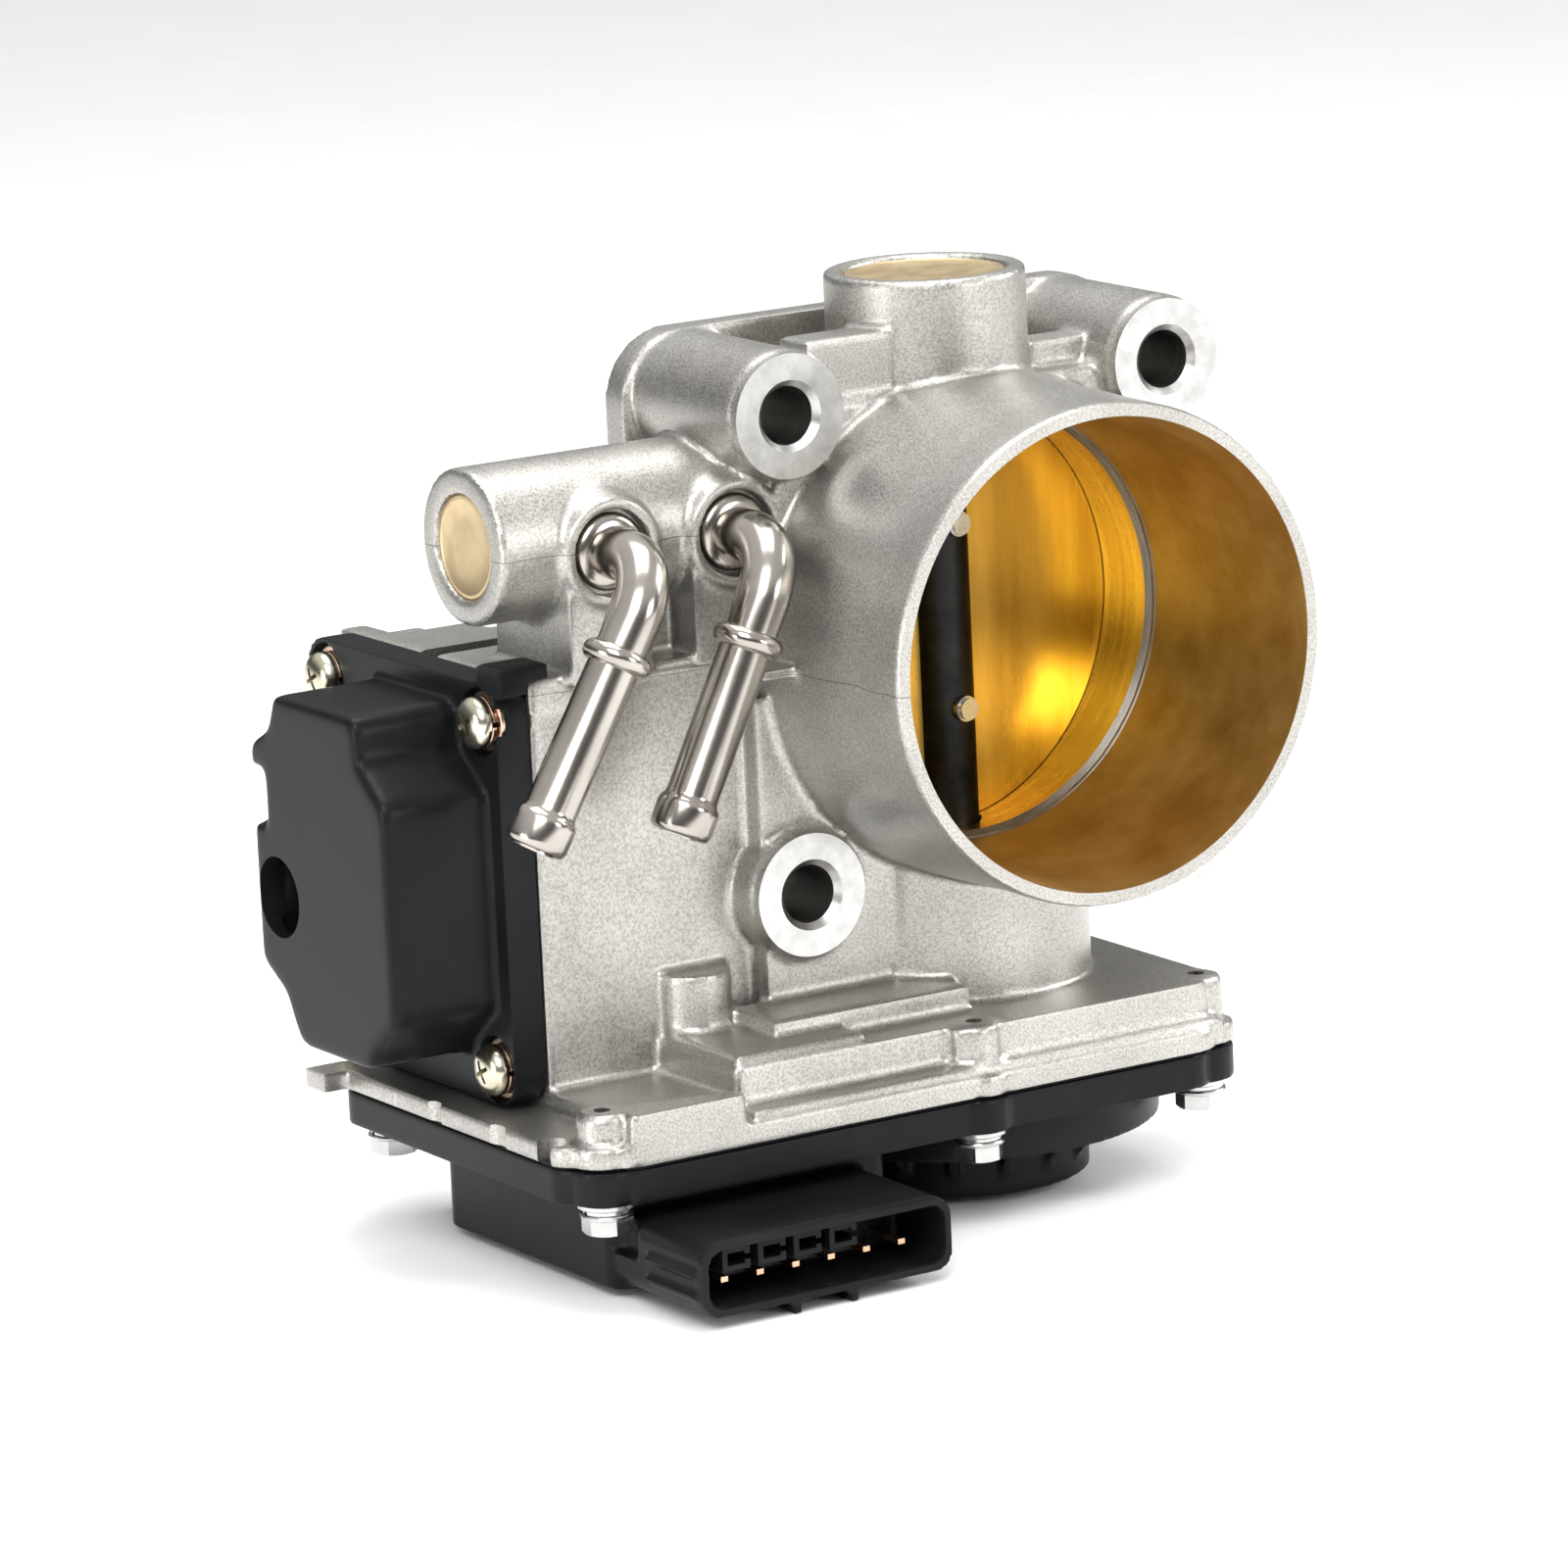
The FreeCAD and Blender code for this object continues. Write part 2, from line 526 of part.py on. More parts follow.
def pipe_shape(lean):
    """A bent pipe: out of its seat, round one bend, then down a leaning leg with a bead and a swaged end."""
    leg = math.radians(lean)
    down = Vector(-math.sin(leg), 0, -math.cos(leg))
    out = Vector(0, -1, 0)
    start = Vector(0, size("pipe_seat_depth"), 0)
    corner = Vector(0, size("pipe_face_depth") - size("pipe_leg_depth"), 0)
    bend = size("pipe_bend")
    bend_in = corner - out * bend
    bend_out = corner + down * bend
    middle = corner + (down - out) * bend * (1 - math.sqrt(0.5))
    end = corner + down * size("pipe_leg")
    path = Part.Wire([
        Part.LineSegment(start, bend_in).toShape(),
        Part.Arc(bend_in, middle, bend_out).toShape(),
        Part.LineSegment(bend_out, end).toShape(),
    ])

    def tube(radius):
        profile = Part.Wire([Part.Circle(start, out, radius).toShape()])
        return path.makePipeShell([profile], True, False)

    bead_at = corner + down * size("pipe_bead")
    radius = size("pipe_radius")
    solid = tube(radius - 0.01)
    collar = Part.makeCylinder(size("pipe_collar_radius"), size("pipe_collar_thick"), Vector(0, 0, 0), out)
    bead = Part.makeTorus(radius - 0.1, 1.1, bead_at, down)
    swage_low = Part.makeCone(radius + 0.75, radius + 0.1, 1.6, end - down * 1.6, down)
    swage = Part.makeCylinder(radius + 0.75, 3.2, end - down * 4.8, down)
    swage_top = Part.makeCone(radius - 0.05, radius + 0.75, 1.2, end - down * 6.0, down)
    solid = solid.fuse([collar, bead, swage_low, swage, swage_top])
    hollow = tube(size("pipe_bore"))
    mouth = Part.makeCylinder(size("pipe_bore"), 3, end - down * 1, down)
    return solid.cut([hollow, mouth])


def coolant_pipes():
    """The two coolant pipes, pressed into their seats."""
    left = feature("pipe_one", pipe_shape(size("pipe_left_lean")), "-pipe_left", "-pipe_face_depth", "pipe_high")
    right = feature("pipe_two", pipe_shape(size("pipe_right_lean")), "-pipe_right", "-pipe_face_depth",
                    "pipe_high")
    node(left, "coolant_pipe_outer")
    node(right, "coolant_pipe_inner")


# ---------------------------------------------------------------- gears


def gear_wire(teeth, module, turn_degrees):
    """The closed outline of an involute spur gear, with one tooth centred on the given direction."""
    pitch = module * teeth / 2
    base = pitch * math.cos(math.radians(20))
    tip = pitch + 0.85 * module
    root = pitch - 1.2 * module
    involute = lambda radius: math.tan(math.acos(base / radius)) - math.acos(base / radius)
    half_tooth = math.pi / (2 * teeth) - 0.05 * module / pitch
    low = max(base, root + 0.02)
    flank = [low + (tip - low) * step / 3 for step in range(4)]
    points = []
    for tooth in range(int(teeth)):
        centre = math.radians(turn_degrees) + 2 * math.pi * tooth / teeth
        side = [(r, half_tooth + involute(pitch) - involute(r)) for r in flank]
        side.insert(0, (root, side[0][1] + 0.02 / pitch))
        for radius, angle in side:
            points.append((radius, centre - angle))
        for radius, angle in reversed(side):
            points.append((radius, centre + angle))
    corners = [Vector(radius * math.cos(angle), radius * math.sin(angle), 0) for radius, angle in points]
    return Part.makePolygon(corners + corners[:1])


def gear_solid(teeth, module, turn_degrees, thick):
    """A spur gear blank with its teeth."""
    return Part.Face(gear_wire(teeth, module, turn_degrees)).extrude(Vector(0, 0, thick))


def sector_gear():
    """The toothed sector on the shaft, with a hub, that swings the plate."""
    module = size("module")
    teeth = size("sector_teeth")
    thick = size("sector_thick")
    toothed = gear_solid(teeth, module, MESH_ANGLE, thick)
    reach = module * teeth
    first = math.radians(MESH_ANGLE - size("travel") - 9)
    last = math.radians(MESH_ANGLE + 9)
    steps = 6
    rim = [Vector(0, 0, 0)]
    for step in range(steps + 1):
        angle = first + (last - first) * step / steps
        rim.append(Vector(reach * math.cos(angle), reach * math.sin(angle), 0))
    wedge = Part.Face(Part.makePolygon(rim + rim[:1])).extrude(Vector(0, 0, thick))
    hub = Part.makeCylinder(9.5, thick)
    web_cut = Part.makeCylinder(22.5, 2.2, Vector(0, 0, -0.1)).cut(Part.makeCylinder(11.5, 2.2, Vector(0, 0, -0.1)))
    body = toothed.common(wedge).fuse(hub).cut(web_cut)
    bore = Part.makeCylinder(size("shaft_radius") + 0.01, thick + 2, Vector(0, 0, -1))
    node(feature("sector", body.cut(bore), SHAFT.x, SHAFT.y, "sector_low"), "sector_gear")


def shaft_end_pieces():
    """The nut that clamps the sector, and the sensor rotor carried below it."""
    node(ring("spacer_ring", "4.9", "2.6", "2.1", "0", "-shaft_depth", "shaft_bottom - 2.1"),
         "sensor_rotor_spacer")
    bush_low = "sector_low + sector_thick"
    node(ring("spring_bush", "6.6", "shaft_radius", f"lower_bearing_low - 0.3 - ({bush_low})", "0",
              "-shaft_depth", bush_low), "spring_guide_bush")
    plate = cylinder("rotor_plate", "8.6", "1.6", "0", "-shaft_depth", "shaft_bottom - 3.7")
    magnets = [
        block("rotor_magnet", f"{x} - 1.4", f"{x} + 1.4", "-shaft_depth - 3.5", "-shaft_depth + 3.5",
              "shaft_bottom - 5.4", "shaft_bottom - 3.6")
        for x in (-6.0, 6.0)
    ]
    node(fuse("rotor", [plate] + magnets), "sensor_rotor")


def return_spring():
    """The torsion spring that closes the plate, wound round its guide bush."""
    turns = 6
    wire = 0.6
    pitch = 1.42
    radius = 7.7
    helix = Part.makeHelix(pitch, pitch * turns, radius)
    profile = Part.Wire([Part.Circle(Vector(radius, 0, 0), Vector(0, 1, 0), wire).toShape()])
    coil = Part.Wire(helix).makePipeShell([profile], True, True)
    leg = Part.makeCylinder(wire, 11, Vector(radius, -0.3, pitch * turns), Vector(0, 1, 0))
    node(feature("spring_coil", coil.fuse(leg), SHAFT.x, SHAFT.y, f"case_roof - {wire} - {pitch * turns}"),
         "return_spring")


def idler_gear():
    """The two-step gear between the motor and the sector, with its bore."""
    module = size("module")
    toothless_side = MESH_ANGLE + 180
    small_teeth = size("idler_small_teeth")
    big_teeth = size("idler_big_teeth")
    small_turn = toothless_side + 180 / small_teeth
    small = gear_solid(small_teeth, module, small_turn, 8.6)
    big = gear_solid(big_teeth, module, MESH_ANGLE, size("big_gear_thick"))
    lift = size("big_gear_low") - (size("sector_low") - 0.3)
    big.translate(Vector(0, 0, lift))
    rim_cut = Part.makeCylinder(21.5, 1.8, Vector(0, 0, lift - 0.1))
    rim_cut = rim_cut.cut(Part.makeCylinder(10.5, 1.8, Vector(0, 0, lift - 0.1)))
    body = small.fuse(big).cut(rim_cut).cut(Part.makeCylinder(2.04, 20, Vector(0, 0, -2)))
    node(feature("idler", body, IDLER.x, IDLER.y, "sector_low - 0.3"), "intermediate_gear")


def idler_axle():
    """The fixed pin that the intermediate gear turns on, pressed into the housing."""
    node(cylinder("axle", "1.99", "25.3", IDLER.x, IDLER.y, "-83.4"), "intermediate_gear_axle")


# ---------------------------------------------------------------- motor


def flat_sides(half):
    """The space between the motor's two flat sides."""
    return block("motor_flats", f"-motor_across - {half}", f"-motor_across + {half}", "-30", "25", "-62", "0")


def motor():
    """The drive motor: flanged can, magnets, end cap with terminals, and the turning armature."""
    across, depth = "-motor_across", "-motor_depth"
    outside = cylinder("can_round", "motor_radius", "motor_high - motor_low", across, depth, "motor_low")
    inside = cylinder("can_hollow", "motor_radius - 1.2", "motor_high - motor_low", across, depth,
                      "motor_low + 1.5")
    can = common("can_outer", outside, flat_sides("12.3"))
    can_tools = [
        common("can_inner", inside, flat_sides("11.2")),
        cylinder("can_nose_hole", "2.6", "6", across, depth, "motor_low - 2"),
    ]
    node(cut("can", can, can_tools), "motor_can")
    cap = cylinder("cap_disc", "motor_radius - 1.22", "2.4", across, depth, "motor_high - 2.4")
    cap_boss = cylinder("cap_boss", "4.2", "2.6", across, depth, "motor_high - 0.2")
    cap_tools = [cylinder("cap_hole", "1.65", "4.4", across, depth, "motor_high - 3")]
    cap_flat = common("cap_flat", cap, flat_sides("11.18"))
    node(cut("cap", fuse("cap_solid", [cap_flat, cap_boss]), cap_tools), "motor_end_cap")
    magnet_ring = ring("magnet_tube", "motor_radius - 1.22", "11.2", "30", across, depth, "-48")
    gap = block("magnet_gap", "-motor_across - 20", "-motor_across + 20", "-motor_depth - 5",
                "-motor_depth + 5", "-50", "-16")
    magnets = common("magnet_flat", magnet_ring, flat_sides("11.1"))
    node(cut("magnet_pair", magnets, [gap]), "motor_magnets")
    terminals = [
        block("terminal", f"-motor_across + {x} - 1.5", f"-motor_across + {x} + 1.5", "-motor_depth + 8",
              "-motor_depth + 8.8", "motor_high", "motor_high + 4.5")
        for x in (-6.0, 6.0)
    ]
    node(group("terminal_pair", terminals), "motor_terminals")
    disc = cylinder("mount_disc", "motor_well + 2", "1.5", across, depth, "case_roof - 1.5")
    trim = block("mount_trim", "-75.2", "-40", "-40", "30", "case_roof - 3", "case_roof + 3")
    ears = [cylinder("mount_ear", "4.2", "1.5", x, y, "case_roof - 1.5") for x, y in MOUNT_SCREWS]
    bar = block("mount_bar", "-56", "-51.5", MOUNT_SCREWS[0][1] - 3.5, MOUNT_SCREWS[1][1] + 3.5,
                "case_roof - 1.5", "case_roof")
    plate = fuse("mount_solid", [common("mount_trimmed", disc, trim), bar] + ears)
    holes = [cylinder("mount_hole", "5", "6", across, depth, "case_roof - 4")]
    holes += [cylinder("mount_screw_hole", "1.6", "6", x, y, "case_roof - 4") for x, y in MOUNT_SCREWS]
    node(cut("mount_plate", plate, holes), "motor_mount_plate")
    screws = []
    for x, y in MOUNT_SCREWS:
        stem = cylinder("mount_screw_stem", "1.24", "4.2", x, y, "case_roof - 1.9")
        head = cylinder("mount_screw_head", "2.6", "1.1", x, y, "case_roof - 2.6")
        screws.append(fuse("mount_screw", [stem, head]))
    node(group("mount_screw_pair", screws), "motor_mount_screws")


def armature():
    """The motor's turning parts: shaft, laminated core, commutator and pinion."""
    across, depth = "-motor_across", "-motor_depth"
    node(cylinder("armature_rod", "1.58", "62", across, depth, "-69.4"), "motor_shaft")
    node(ring("core", "10.6", "1.58", "28", across, depth, "-47"), "motor_armature_core")
    node(ring("commutator_tube", "4.2", "1.58", "5.5", across, depth, "-18.5"), "motor_commutator")
    module = size("module")
    teeth = size("motor_teeth")
    turn_degrees = MESH_ANGLE + 180 + 180 / teeth
    pinion = gear_solid(teeth, module, turn_degrees, 6.4).cut(Part.makeCylinder(1.58, 9, Vector(0, 0, -1)))
    node(feature("pinion", pinion, MOTOR.x, MOTOR.y, "big_gear_low - 0.5"), "motor_pinion")


# ---------------------------------------------------------------- gear case cover


def cover_bulge(inset, low, high):
    """The deep left bulge of the gear cover, moved inwards by an inset."""
    return slab(
        "bulge", "XY_Plane",
        [(f"-79 + {inset}", f"-47 + {inset}"), (f"-30 - {inset}", f"-47 + {inset}"),
         (f"-30 - {inset}", f"18 - {inset}"), (f"-70 + {inset}", f"18 - {inset}"),
         (f"-79 + {inset}", f"2 - {inset}")],
        low, f"{high} - ({low})", "3",
    )


def connector_outline(inset):
    """The connector's section, long along X."""
    return [(f"-78.6 + {inset}", f"-87.8 + {inset}"), (f"-34.6 - {inset}", f"-87.8 + {inset}"),
            (f"-34.6 - {inset}", f"-76.2 - {inset}"), (f"-78.6 + {inset}", f"-76.2 - {inset}")]


def gear_cover():
    """The black plastic cover with its rim, two round bulges, deep bulge and connector."""
    top = "case_joint - gasket_thick"
    solids = [
        slab("cover_plate", "XY_Plane", inset_outline("cover_inset"), "cover_low", f"{top} - cover_low", "5"),
        cylinder("gear_ring", "ring_radius", "cover_low - ring_low + 1", "0", "-shaft_depth", "ring_low"),
        cylinder("sensor_ring", "sensor_ring_radius", "cover_low - sensor_ring_low + 1", "0", "-shaft_depth",
                 "sensor_ring_low"),
        cover_bulge("0", "sensor_ring_low", "cover_low + 1"),
        slab("connector_shell", "XZ_Plane", connector_outline("0"), "46", "25", "3.4"),
    ]
    for x, y in COVER_SCREWS:
        solids.append(cylinder("cover_ear", "5.4", f"{top} - cover_low", x, y, "cover_low"))
    for x in (-62.0, -52.0):
        solids.append(block("connector_rib", f"{x} - 0.7", f"{x} + 0.7", "-70.5", "-58", "-89.8", "-87"))
    hollows = [
        slab("cover_hollow", "XY_Plane", inset_outline("cover_inset + 3.2"), "cover_low + cover_skin", "8", "3"),
        cylinder("gear_hollow", "ring_radius - 1.9", "12", "0", "-shaft_depth", "ring_low + 2"),
        cylinder("sensor_hollow", "sensor_ring_radius - 2", "14", "0", "-shaft_depth", "sensor_ring_low + 2"),
        cover_bulge("2.2", "sensor_ring_low + 2", "cover_low + 3"),
        cylinder("idler_hollow", "9.4", "9", IDLER.x, IDLER.y, "ring_low + 2"),
        slab("connector_hollow", "XZ_Plane", connector_outline("1.5"), "57.5", "15", "2.2"),
    ]
    reliefs = [cylinder("head_relief", "4.6", "9", x, y, "cover_low - 9") for x, y in COVER_SCREWS]
    shell = cut("cover_shell", fuse("cover_outside", solids), hollows + [group("head_reliefs", reliefs)])
    pads = [
        cylinder("cover_column", "4.1", f"{top} - cover_low", x, y, "cover_low") for x, y in COVER_SCREWS
    ]
    pads.append(cylinder("axle_foot", "4.4", "8.6", IDLER.x, IDLER.y, "-86.8"))
    holes = [cylinder("cover_hole", "2.3", "12", x, y, "cover_low - 2") for x, y in COVER_SCREWS]
    holes.append(cylinder("axle_foot_hole", "2.0", "6", IDLER.x, IDLER.y, "-83.6"))
    solid = fuse("cover_solid", [shell] + pads)
    node(cut("cover", solid, [group("cover_holes", holes)]), "gear_case_cover")


def gear_case_gasket():
    """The flat seal between the casting and the gear cover."""
    low = "case_joint - gasket_thick"
    sheet = slab("gasket_sheet", "XY_Plane", inset_outline("cover_inset + 0.4"), low, "gasket_thick", "5")
    inside = slab("gasket_inside", "XY_Plane", inset_outline("cover_inset + 2.4"), low + " - 1",
                  "gasket_thick + 2", "3")
    sheet = cut("gasket_rim", sheet, [inside])
    eyes = [cylinder("gasket_eye", "4.0", "gasket_thick", x, y, low) for x, y in COVER_SCREWS]
    holes = [cylinder("gasket_hole", "2.4", "3", x, y, low + " - 1") for x, y in COVER_SCREWS]
    solid = fuse("gasket_solid", [sheet] + eyes)
    node(cut("gasket", solid, [group("gasket_holes", holes)]), "gear_case_gasket")


def connector_pins():
    """Six blades from the sensor board into the connector."""
    pins = []
    for index in range(6):
        x = -71.8 + 6.22 * index
        pins.append(block("pin", f"{x} - 0.6", f"{x} + 0.6", "-66", "-57.5", "-83.9", "-83.1"))
    node(group("pin_row", pins), "connector_pins")


def sensor_board():
    """The position sensor's board, lying in the floor of the sensor bulge."""
    node(cylinder("board", "17.4", "1.2", "0", "-shaft_depth", "sensor_ring_low + 2.02"), "sensor_board")


def cover_fasteners():
    """Hexagon screws with their washers, up through the cover into the casting."""
    screws, washers = [], []
    for x, y in COVER_SCREWS:
        head = DOC.addObject("Part::Prism", "hex_head")
        head.Polygon = 6
        bind(head, Circumradius="3.95", Height="3.2")
        place(head, x, y, "cover_low - 5.2")
        flange = cylinder("head_flange", "4.1", "0.8", x, y, "cover_low - 2.4")
        stem = cylinder("stem", "1.69", "10.4", x, y, "cover_low - 2")
        screws.append(fuse("cover_screw", [head, flange, stem]))
        washers.append(ring("cover_washer", "4.4", "2.2", "0.8", x, y, "cover_low - 0.82"))
        washers.append(ring("cover_spring_washer", "3.7", "2.2", "0.75", x, y, "cover_low - 1.59"))
    node(group("cover_screw_set", screws), "gear_cover_screws")
    node(group("cover_washer_set", washers), "gear_cover_washers")


# ---------------------------------------------------------------- motor cover


def cover_face_outline(inset):
    """The stepped octagon of the motor cover's bulge, in Y and Z."""
    return [
        (f"-15.5 + {inset}", f"-56.5 + {inset}"), (f"6.4 - {inset}", f"-56.5 + {inset}"),
        (f"10.5 - {inset}", f"-49 + {inset}"), (f"17.4 - {inset}", f"-45 + {inset}"),
        (f"17.4 - {inset}", f"-11 - {inset}"), (f"11.4 - {inset}", f"-8 - {inset}"),
        (f"9 - {inset}", f"-2.2 - {inset}"), (f"-16.5 + {inset}", f"-2.2 - {inset}"),
        (f"-16.5 + {inset}", f"-9 - {inset}"), (f"-24 + {inset}", f"-15 - {inset}"),
        (f"-24 + {inset}", f"-48 + {inset}"), (f"-17 + {inset}", f"-53.5 + {inset}"),
    ]


def motor_cover():
    """The black side cover: a flange with a deep stepped bulge, a round hole and a slot."""
    flange = slab(
        "side_flange", "YZ_Plane",
        [("-box_front", "rim_low"), ("rim_rear", "rim_low"), ("rim_rear", "box_top"), ("-box_front", "box_top")],
        "-box_side - cover_flange", "cover_flange - gasket_thick", "5",
    )
    bulge = slab("side_bulge", "YZ_Plane", cover_face_outline("0"), "-bulge_side",
                 "bulge_side - box_side - cover_flange + 1", "2.5")
    hook = block("side_hook", "-box_side - cover_flange", "-box_side + 2.5", "-box_front - 1.6", "-box_front + 5",
                 "box_top + 0.1", "box_top + 2.9")
    hook_root = block("side_hook_root", "-box_side - cover_flange", "-box_side - 1", "-box_front - 1.6",
                      "-box_front + 5", "box_top - 1.6", "box_top + 0.2")
    hollow = slab("side_hollow", "YZ_Plane", cover_face_outline("bulge_skin"), "-bulge_side + bulge_skin",
                  "bulge_side - box_side", "1.2")
    tools = [
        hollow,
        cylinder("side_hole", "6.3", "6", "-bulge_side - 1", "10.1", "-34", "X"),
        block("side_slot", "-bulge_side - 1", "-bulge_side + 3", "13", "18.5", "-23.2", "-14.5"),
    ]
    outside = fuse("side_outside", [flange, bulge, hook, hook_root])
    seats = [
        cylinder("side_screw_seat", "5.1", "20", "-box_side - cover_flange + seat_drop - 20", y, z, "X")
        for y, z in MOTOR_COVER_SCREWS
    ]
    holes = [
        cylinder("side_screw_hole", "2.3", "12", "-box_side - cover_flange - 2", y, z, "X")
        for y, z in MOTOR_COVER_SCREWS
    ]
    tools += [group("side_screw_seats", seats), group("side_screw_holes", holes)]
    node(cut("side_cover", outside, tools), "motor_cover")


def motor_cover_gasket():
    """The flat seal between the motor box and its cover."""
    sheet = slab(
        "side_gasket_sheet", "YZ_Plane",
        [("-box_front + 0.8", "rim_low + 0.8"), ("rim_rear - 0.8", "rim_low + 0.8"),
         ("rim_rear - 0.8", "box_top - 0.8"), ("-box_front + 0.8", "box_top - 0.8")],
        "-box_side - gasket_thick", "gasket_thick", "4",
    )
    window = block("side_gasket_window", "-box_side - 2", "-box_side + 1", "-24", "box_rear - wall", "-55", "-3")
    holes = [
        cylinder("side_gasket_hole", "2.4", "3", "-box_side - 2", y, z, "X") for y, z in MOTOR_COVER_SCREWS
    ]
    node(cut("side_gasket", sheet, [window] + holes), "motor_cover_gasket")


def motor_cover_fasteners():
    """Pan head screws with spring and flat washers."""
    screws, washers = [], []
    face = "-box_side - cover_flange + seat_drop"
    for y, z in MOTOR_COVER_SCREWS:
        stem = cylinder("pan_stem", "1.69", "14", face + " - 2.2", y, z, "X")
        head = cone("pan_head", "2.6", "4.0", "1.2", face + " - 5.0", y, z, "X")
        skirt = cylinder("pan_skirt", "4.0", "2.0", face + " - 3.8", y, z, "X")
        screws.append(fuse("pan_screw", [stem, head, skirt]))
        for start, outer, thick in (("0.82", "4.7", "0.8"), ("1.75", "3.9", "0.85")):
            outer_disc = cylinder("pan_washer_disc", outer, thick, f"{face} - {start}", y, z, "X")
            eye = cylinder("pan_washer_eye", "2.2", "3", f"{face} - {start} - 1", y, z, "X")
            washers.append(cut("pan_washer", outer_disc, [eye]))
    node(group("pan_screw_set", screws), "motor_cover_screws")
    node(group("pan_washer_set", washers), "motor_cover_washers")


def closed_stop():
    """The dowel in the gear case roof that the sector meets when the plate is closed."""
    node(cylinder("stop", "2.39", "case_roof + 76.5", STOP.x, STOP.y, "-75"), "closed_stop_pin")


# ---------------------------------------------------------------- build, check and write


def check_document():
    """Stop if any object failed or any finished piece has a bad shape."""
    for obj in DOC.Objects:
        if "Invalid" in obj.State or "Error" in obj.State:
            raise RuntimeError(f"{obj.Label} failed: {obj.State}")
    for obj in NODES:
        if obj.Shape.isNull() or not obj.Shape.isValid():
            raise RuntimeError(f"{obj.Label} has a bad shape")


def write_parts():
    """Write each finished piece to its own STEP file."""
    os.makedirs("parts", exist_ok=True)
    for obj in NODES:
        obj.Shape.exportStep(f"parts/{obj.Label}.step")
        print(f"{obj.Label}: {len(obj.Shape.Solids)} solid(s), {obj.Shape.Volume / 1000:.2f} cm3")


for build_piece in (
    housing, throttle_shaft, throttle_plate, plate_screws, bearings_and_seals, core_plugs, coolant_pipes,
    sector_gear, shaft_end_pieces, return_spring, idler_gear, idler_axle, motor, armature, gear_cover,
    gear_case_gasket, connector_pins, sensor_board, cover_fasteners, motor_cover, motor_cover_gasket,
    motor_cover_fasteners, closed_stop,
):
    build_piece()
DOC.recompute()
check_document()
write_parts()
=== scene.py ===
import json
import math
import bmesh
import bpy
import numpy as np
from mathutils import Matrix, Vector


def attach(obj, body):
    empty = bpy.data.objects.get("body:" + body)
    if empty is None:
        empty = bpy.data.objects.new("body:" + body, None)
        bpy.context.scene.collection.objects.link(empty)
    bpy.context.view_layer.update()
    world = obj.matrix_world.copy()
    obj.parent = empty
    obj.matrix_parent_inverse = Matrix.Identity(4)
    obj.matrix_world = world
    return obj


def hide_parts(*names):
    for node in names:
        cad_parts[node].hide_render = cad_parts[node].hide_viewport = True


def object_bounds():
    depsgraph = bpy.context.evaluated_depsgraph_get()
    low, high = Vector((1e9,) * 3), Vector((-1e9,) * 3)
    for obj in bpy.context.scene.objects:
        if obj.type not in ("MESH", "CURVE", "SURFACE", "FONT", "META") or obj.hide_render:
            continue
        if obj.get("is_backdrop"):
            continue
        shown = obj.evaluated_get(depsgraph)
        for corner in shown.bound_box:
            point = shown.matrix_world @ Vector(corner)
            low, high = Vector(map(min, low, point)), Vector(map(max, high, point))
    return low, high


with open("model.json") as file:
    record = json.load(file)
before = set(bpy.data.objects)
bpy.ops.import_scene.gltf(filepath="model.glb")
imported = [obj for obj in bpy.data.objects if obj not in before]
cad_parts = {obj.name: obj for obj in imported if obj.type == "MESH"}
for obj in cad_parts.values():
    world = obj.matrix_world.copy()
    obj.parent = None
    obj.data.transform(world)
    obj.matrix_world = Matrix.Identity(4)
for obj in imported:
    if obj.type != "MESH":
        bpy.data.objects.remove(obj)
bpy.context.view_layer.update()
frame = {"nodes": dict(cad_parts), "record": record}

MM = 0.001

# ------------------------------------------------------------------ materials


def new_material(name):
    """An empty node material with its output and one principled shader."""
    mat = bpy.data.materials.new(name)
    mat.use_nodes = True
    tree = mat.node_tree
    tree.nodes.clear()
    out = tree.nodes.new("ShaderNodeOutputMaterial")
    shader = tree.nodes.new("ShaderNodeBsdfPrincipled")
    tree.links.new(shader.outputs["BSDF"], out.inputs["Surface"])
    return mat, tree, shader


def noise(tree, scale, detail=4.0, rough=0.55, stretch=(1, 1, 1)):
    """Noise in object coordinates, stretched to make streaks where asked."""
    coords = tree.nodes.new("ShaderNodeTexCoord")
    mapping = tree.nodes.new("ShaderNodeMapping")
    mapping.inputs["Scale"].default_value = stretch
    texture = tree.nodes.new("ShaderNodeTexNoise")
    texture.inputs["Scale"].default_value = scale
    texture.inputs["Detail"].default_value = detail
    texture.inputs["Roughness"].default_value = rough
    tree.links.new(coords.outputs["Object"], mapping.inputs["Vector"])
    tree.links.new(mapping.outputs["Vector"], texture.inputs["Vector"])
    return texture.outputs["Fac"]


def ramp(tree, source, stops):
    """A colour ramp from a value. stops: (position, colour)."""
    node = tree.nodes.new("ShaderNodeValToRGB")
    elements = node.color_ramp.elements
    while len(elements) < len(stops):
        elements.new(0.5)
    for element, (position, colour) in zip(elements, stops):
        element.position = position
        element.color = (*colour, 1.0)
    tree.links.new(source, node.inputs["Fac"])
    return node.outputs["Color"]


def remap(tree, source, low, high):
    """A value moved from 0..1 to low..high."""
    node = tree.nodes.new("ShaderNodeMapRange")
    node.inputs["To Min"].default_value = low
    node.inputs["To Max"].default_value = high
    tree.links.new(source, node.inputs["Value"])
    return node.outputs["Result"]


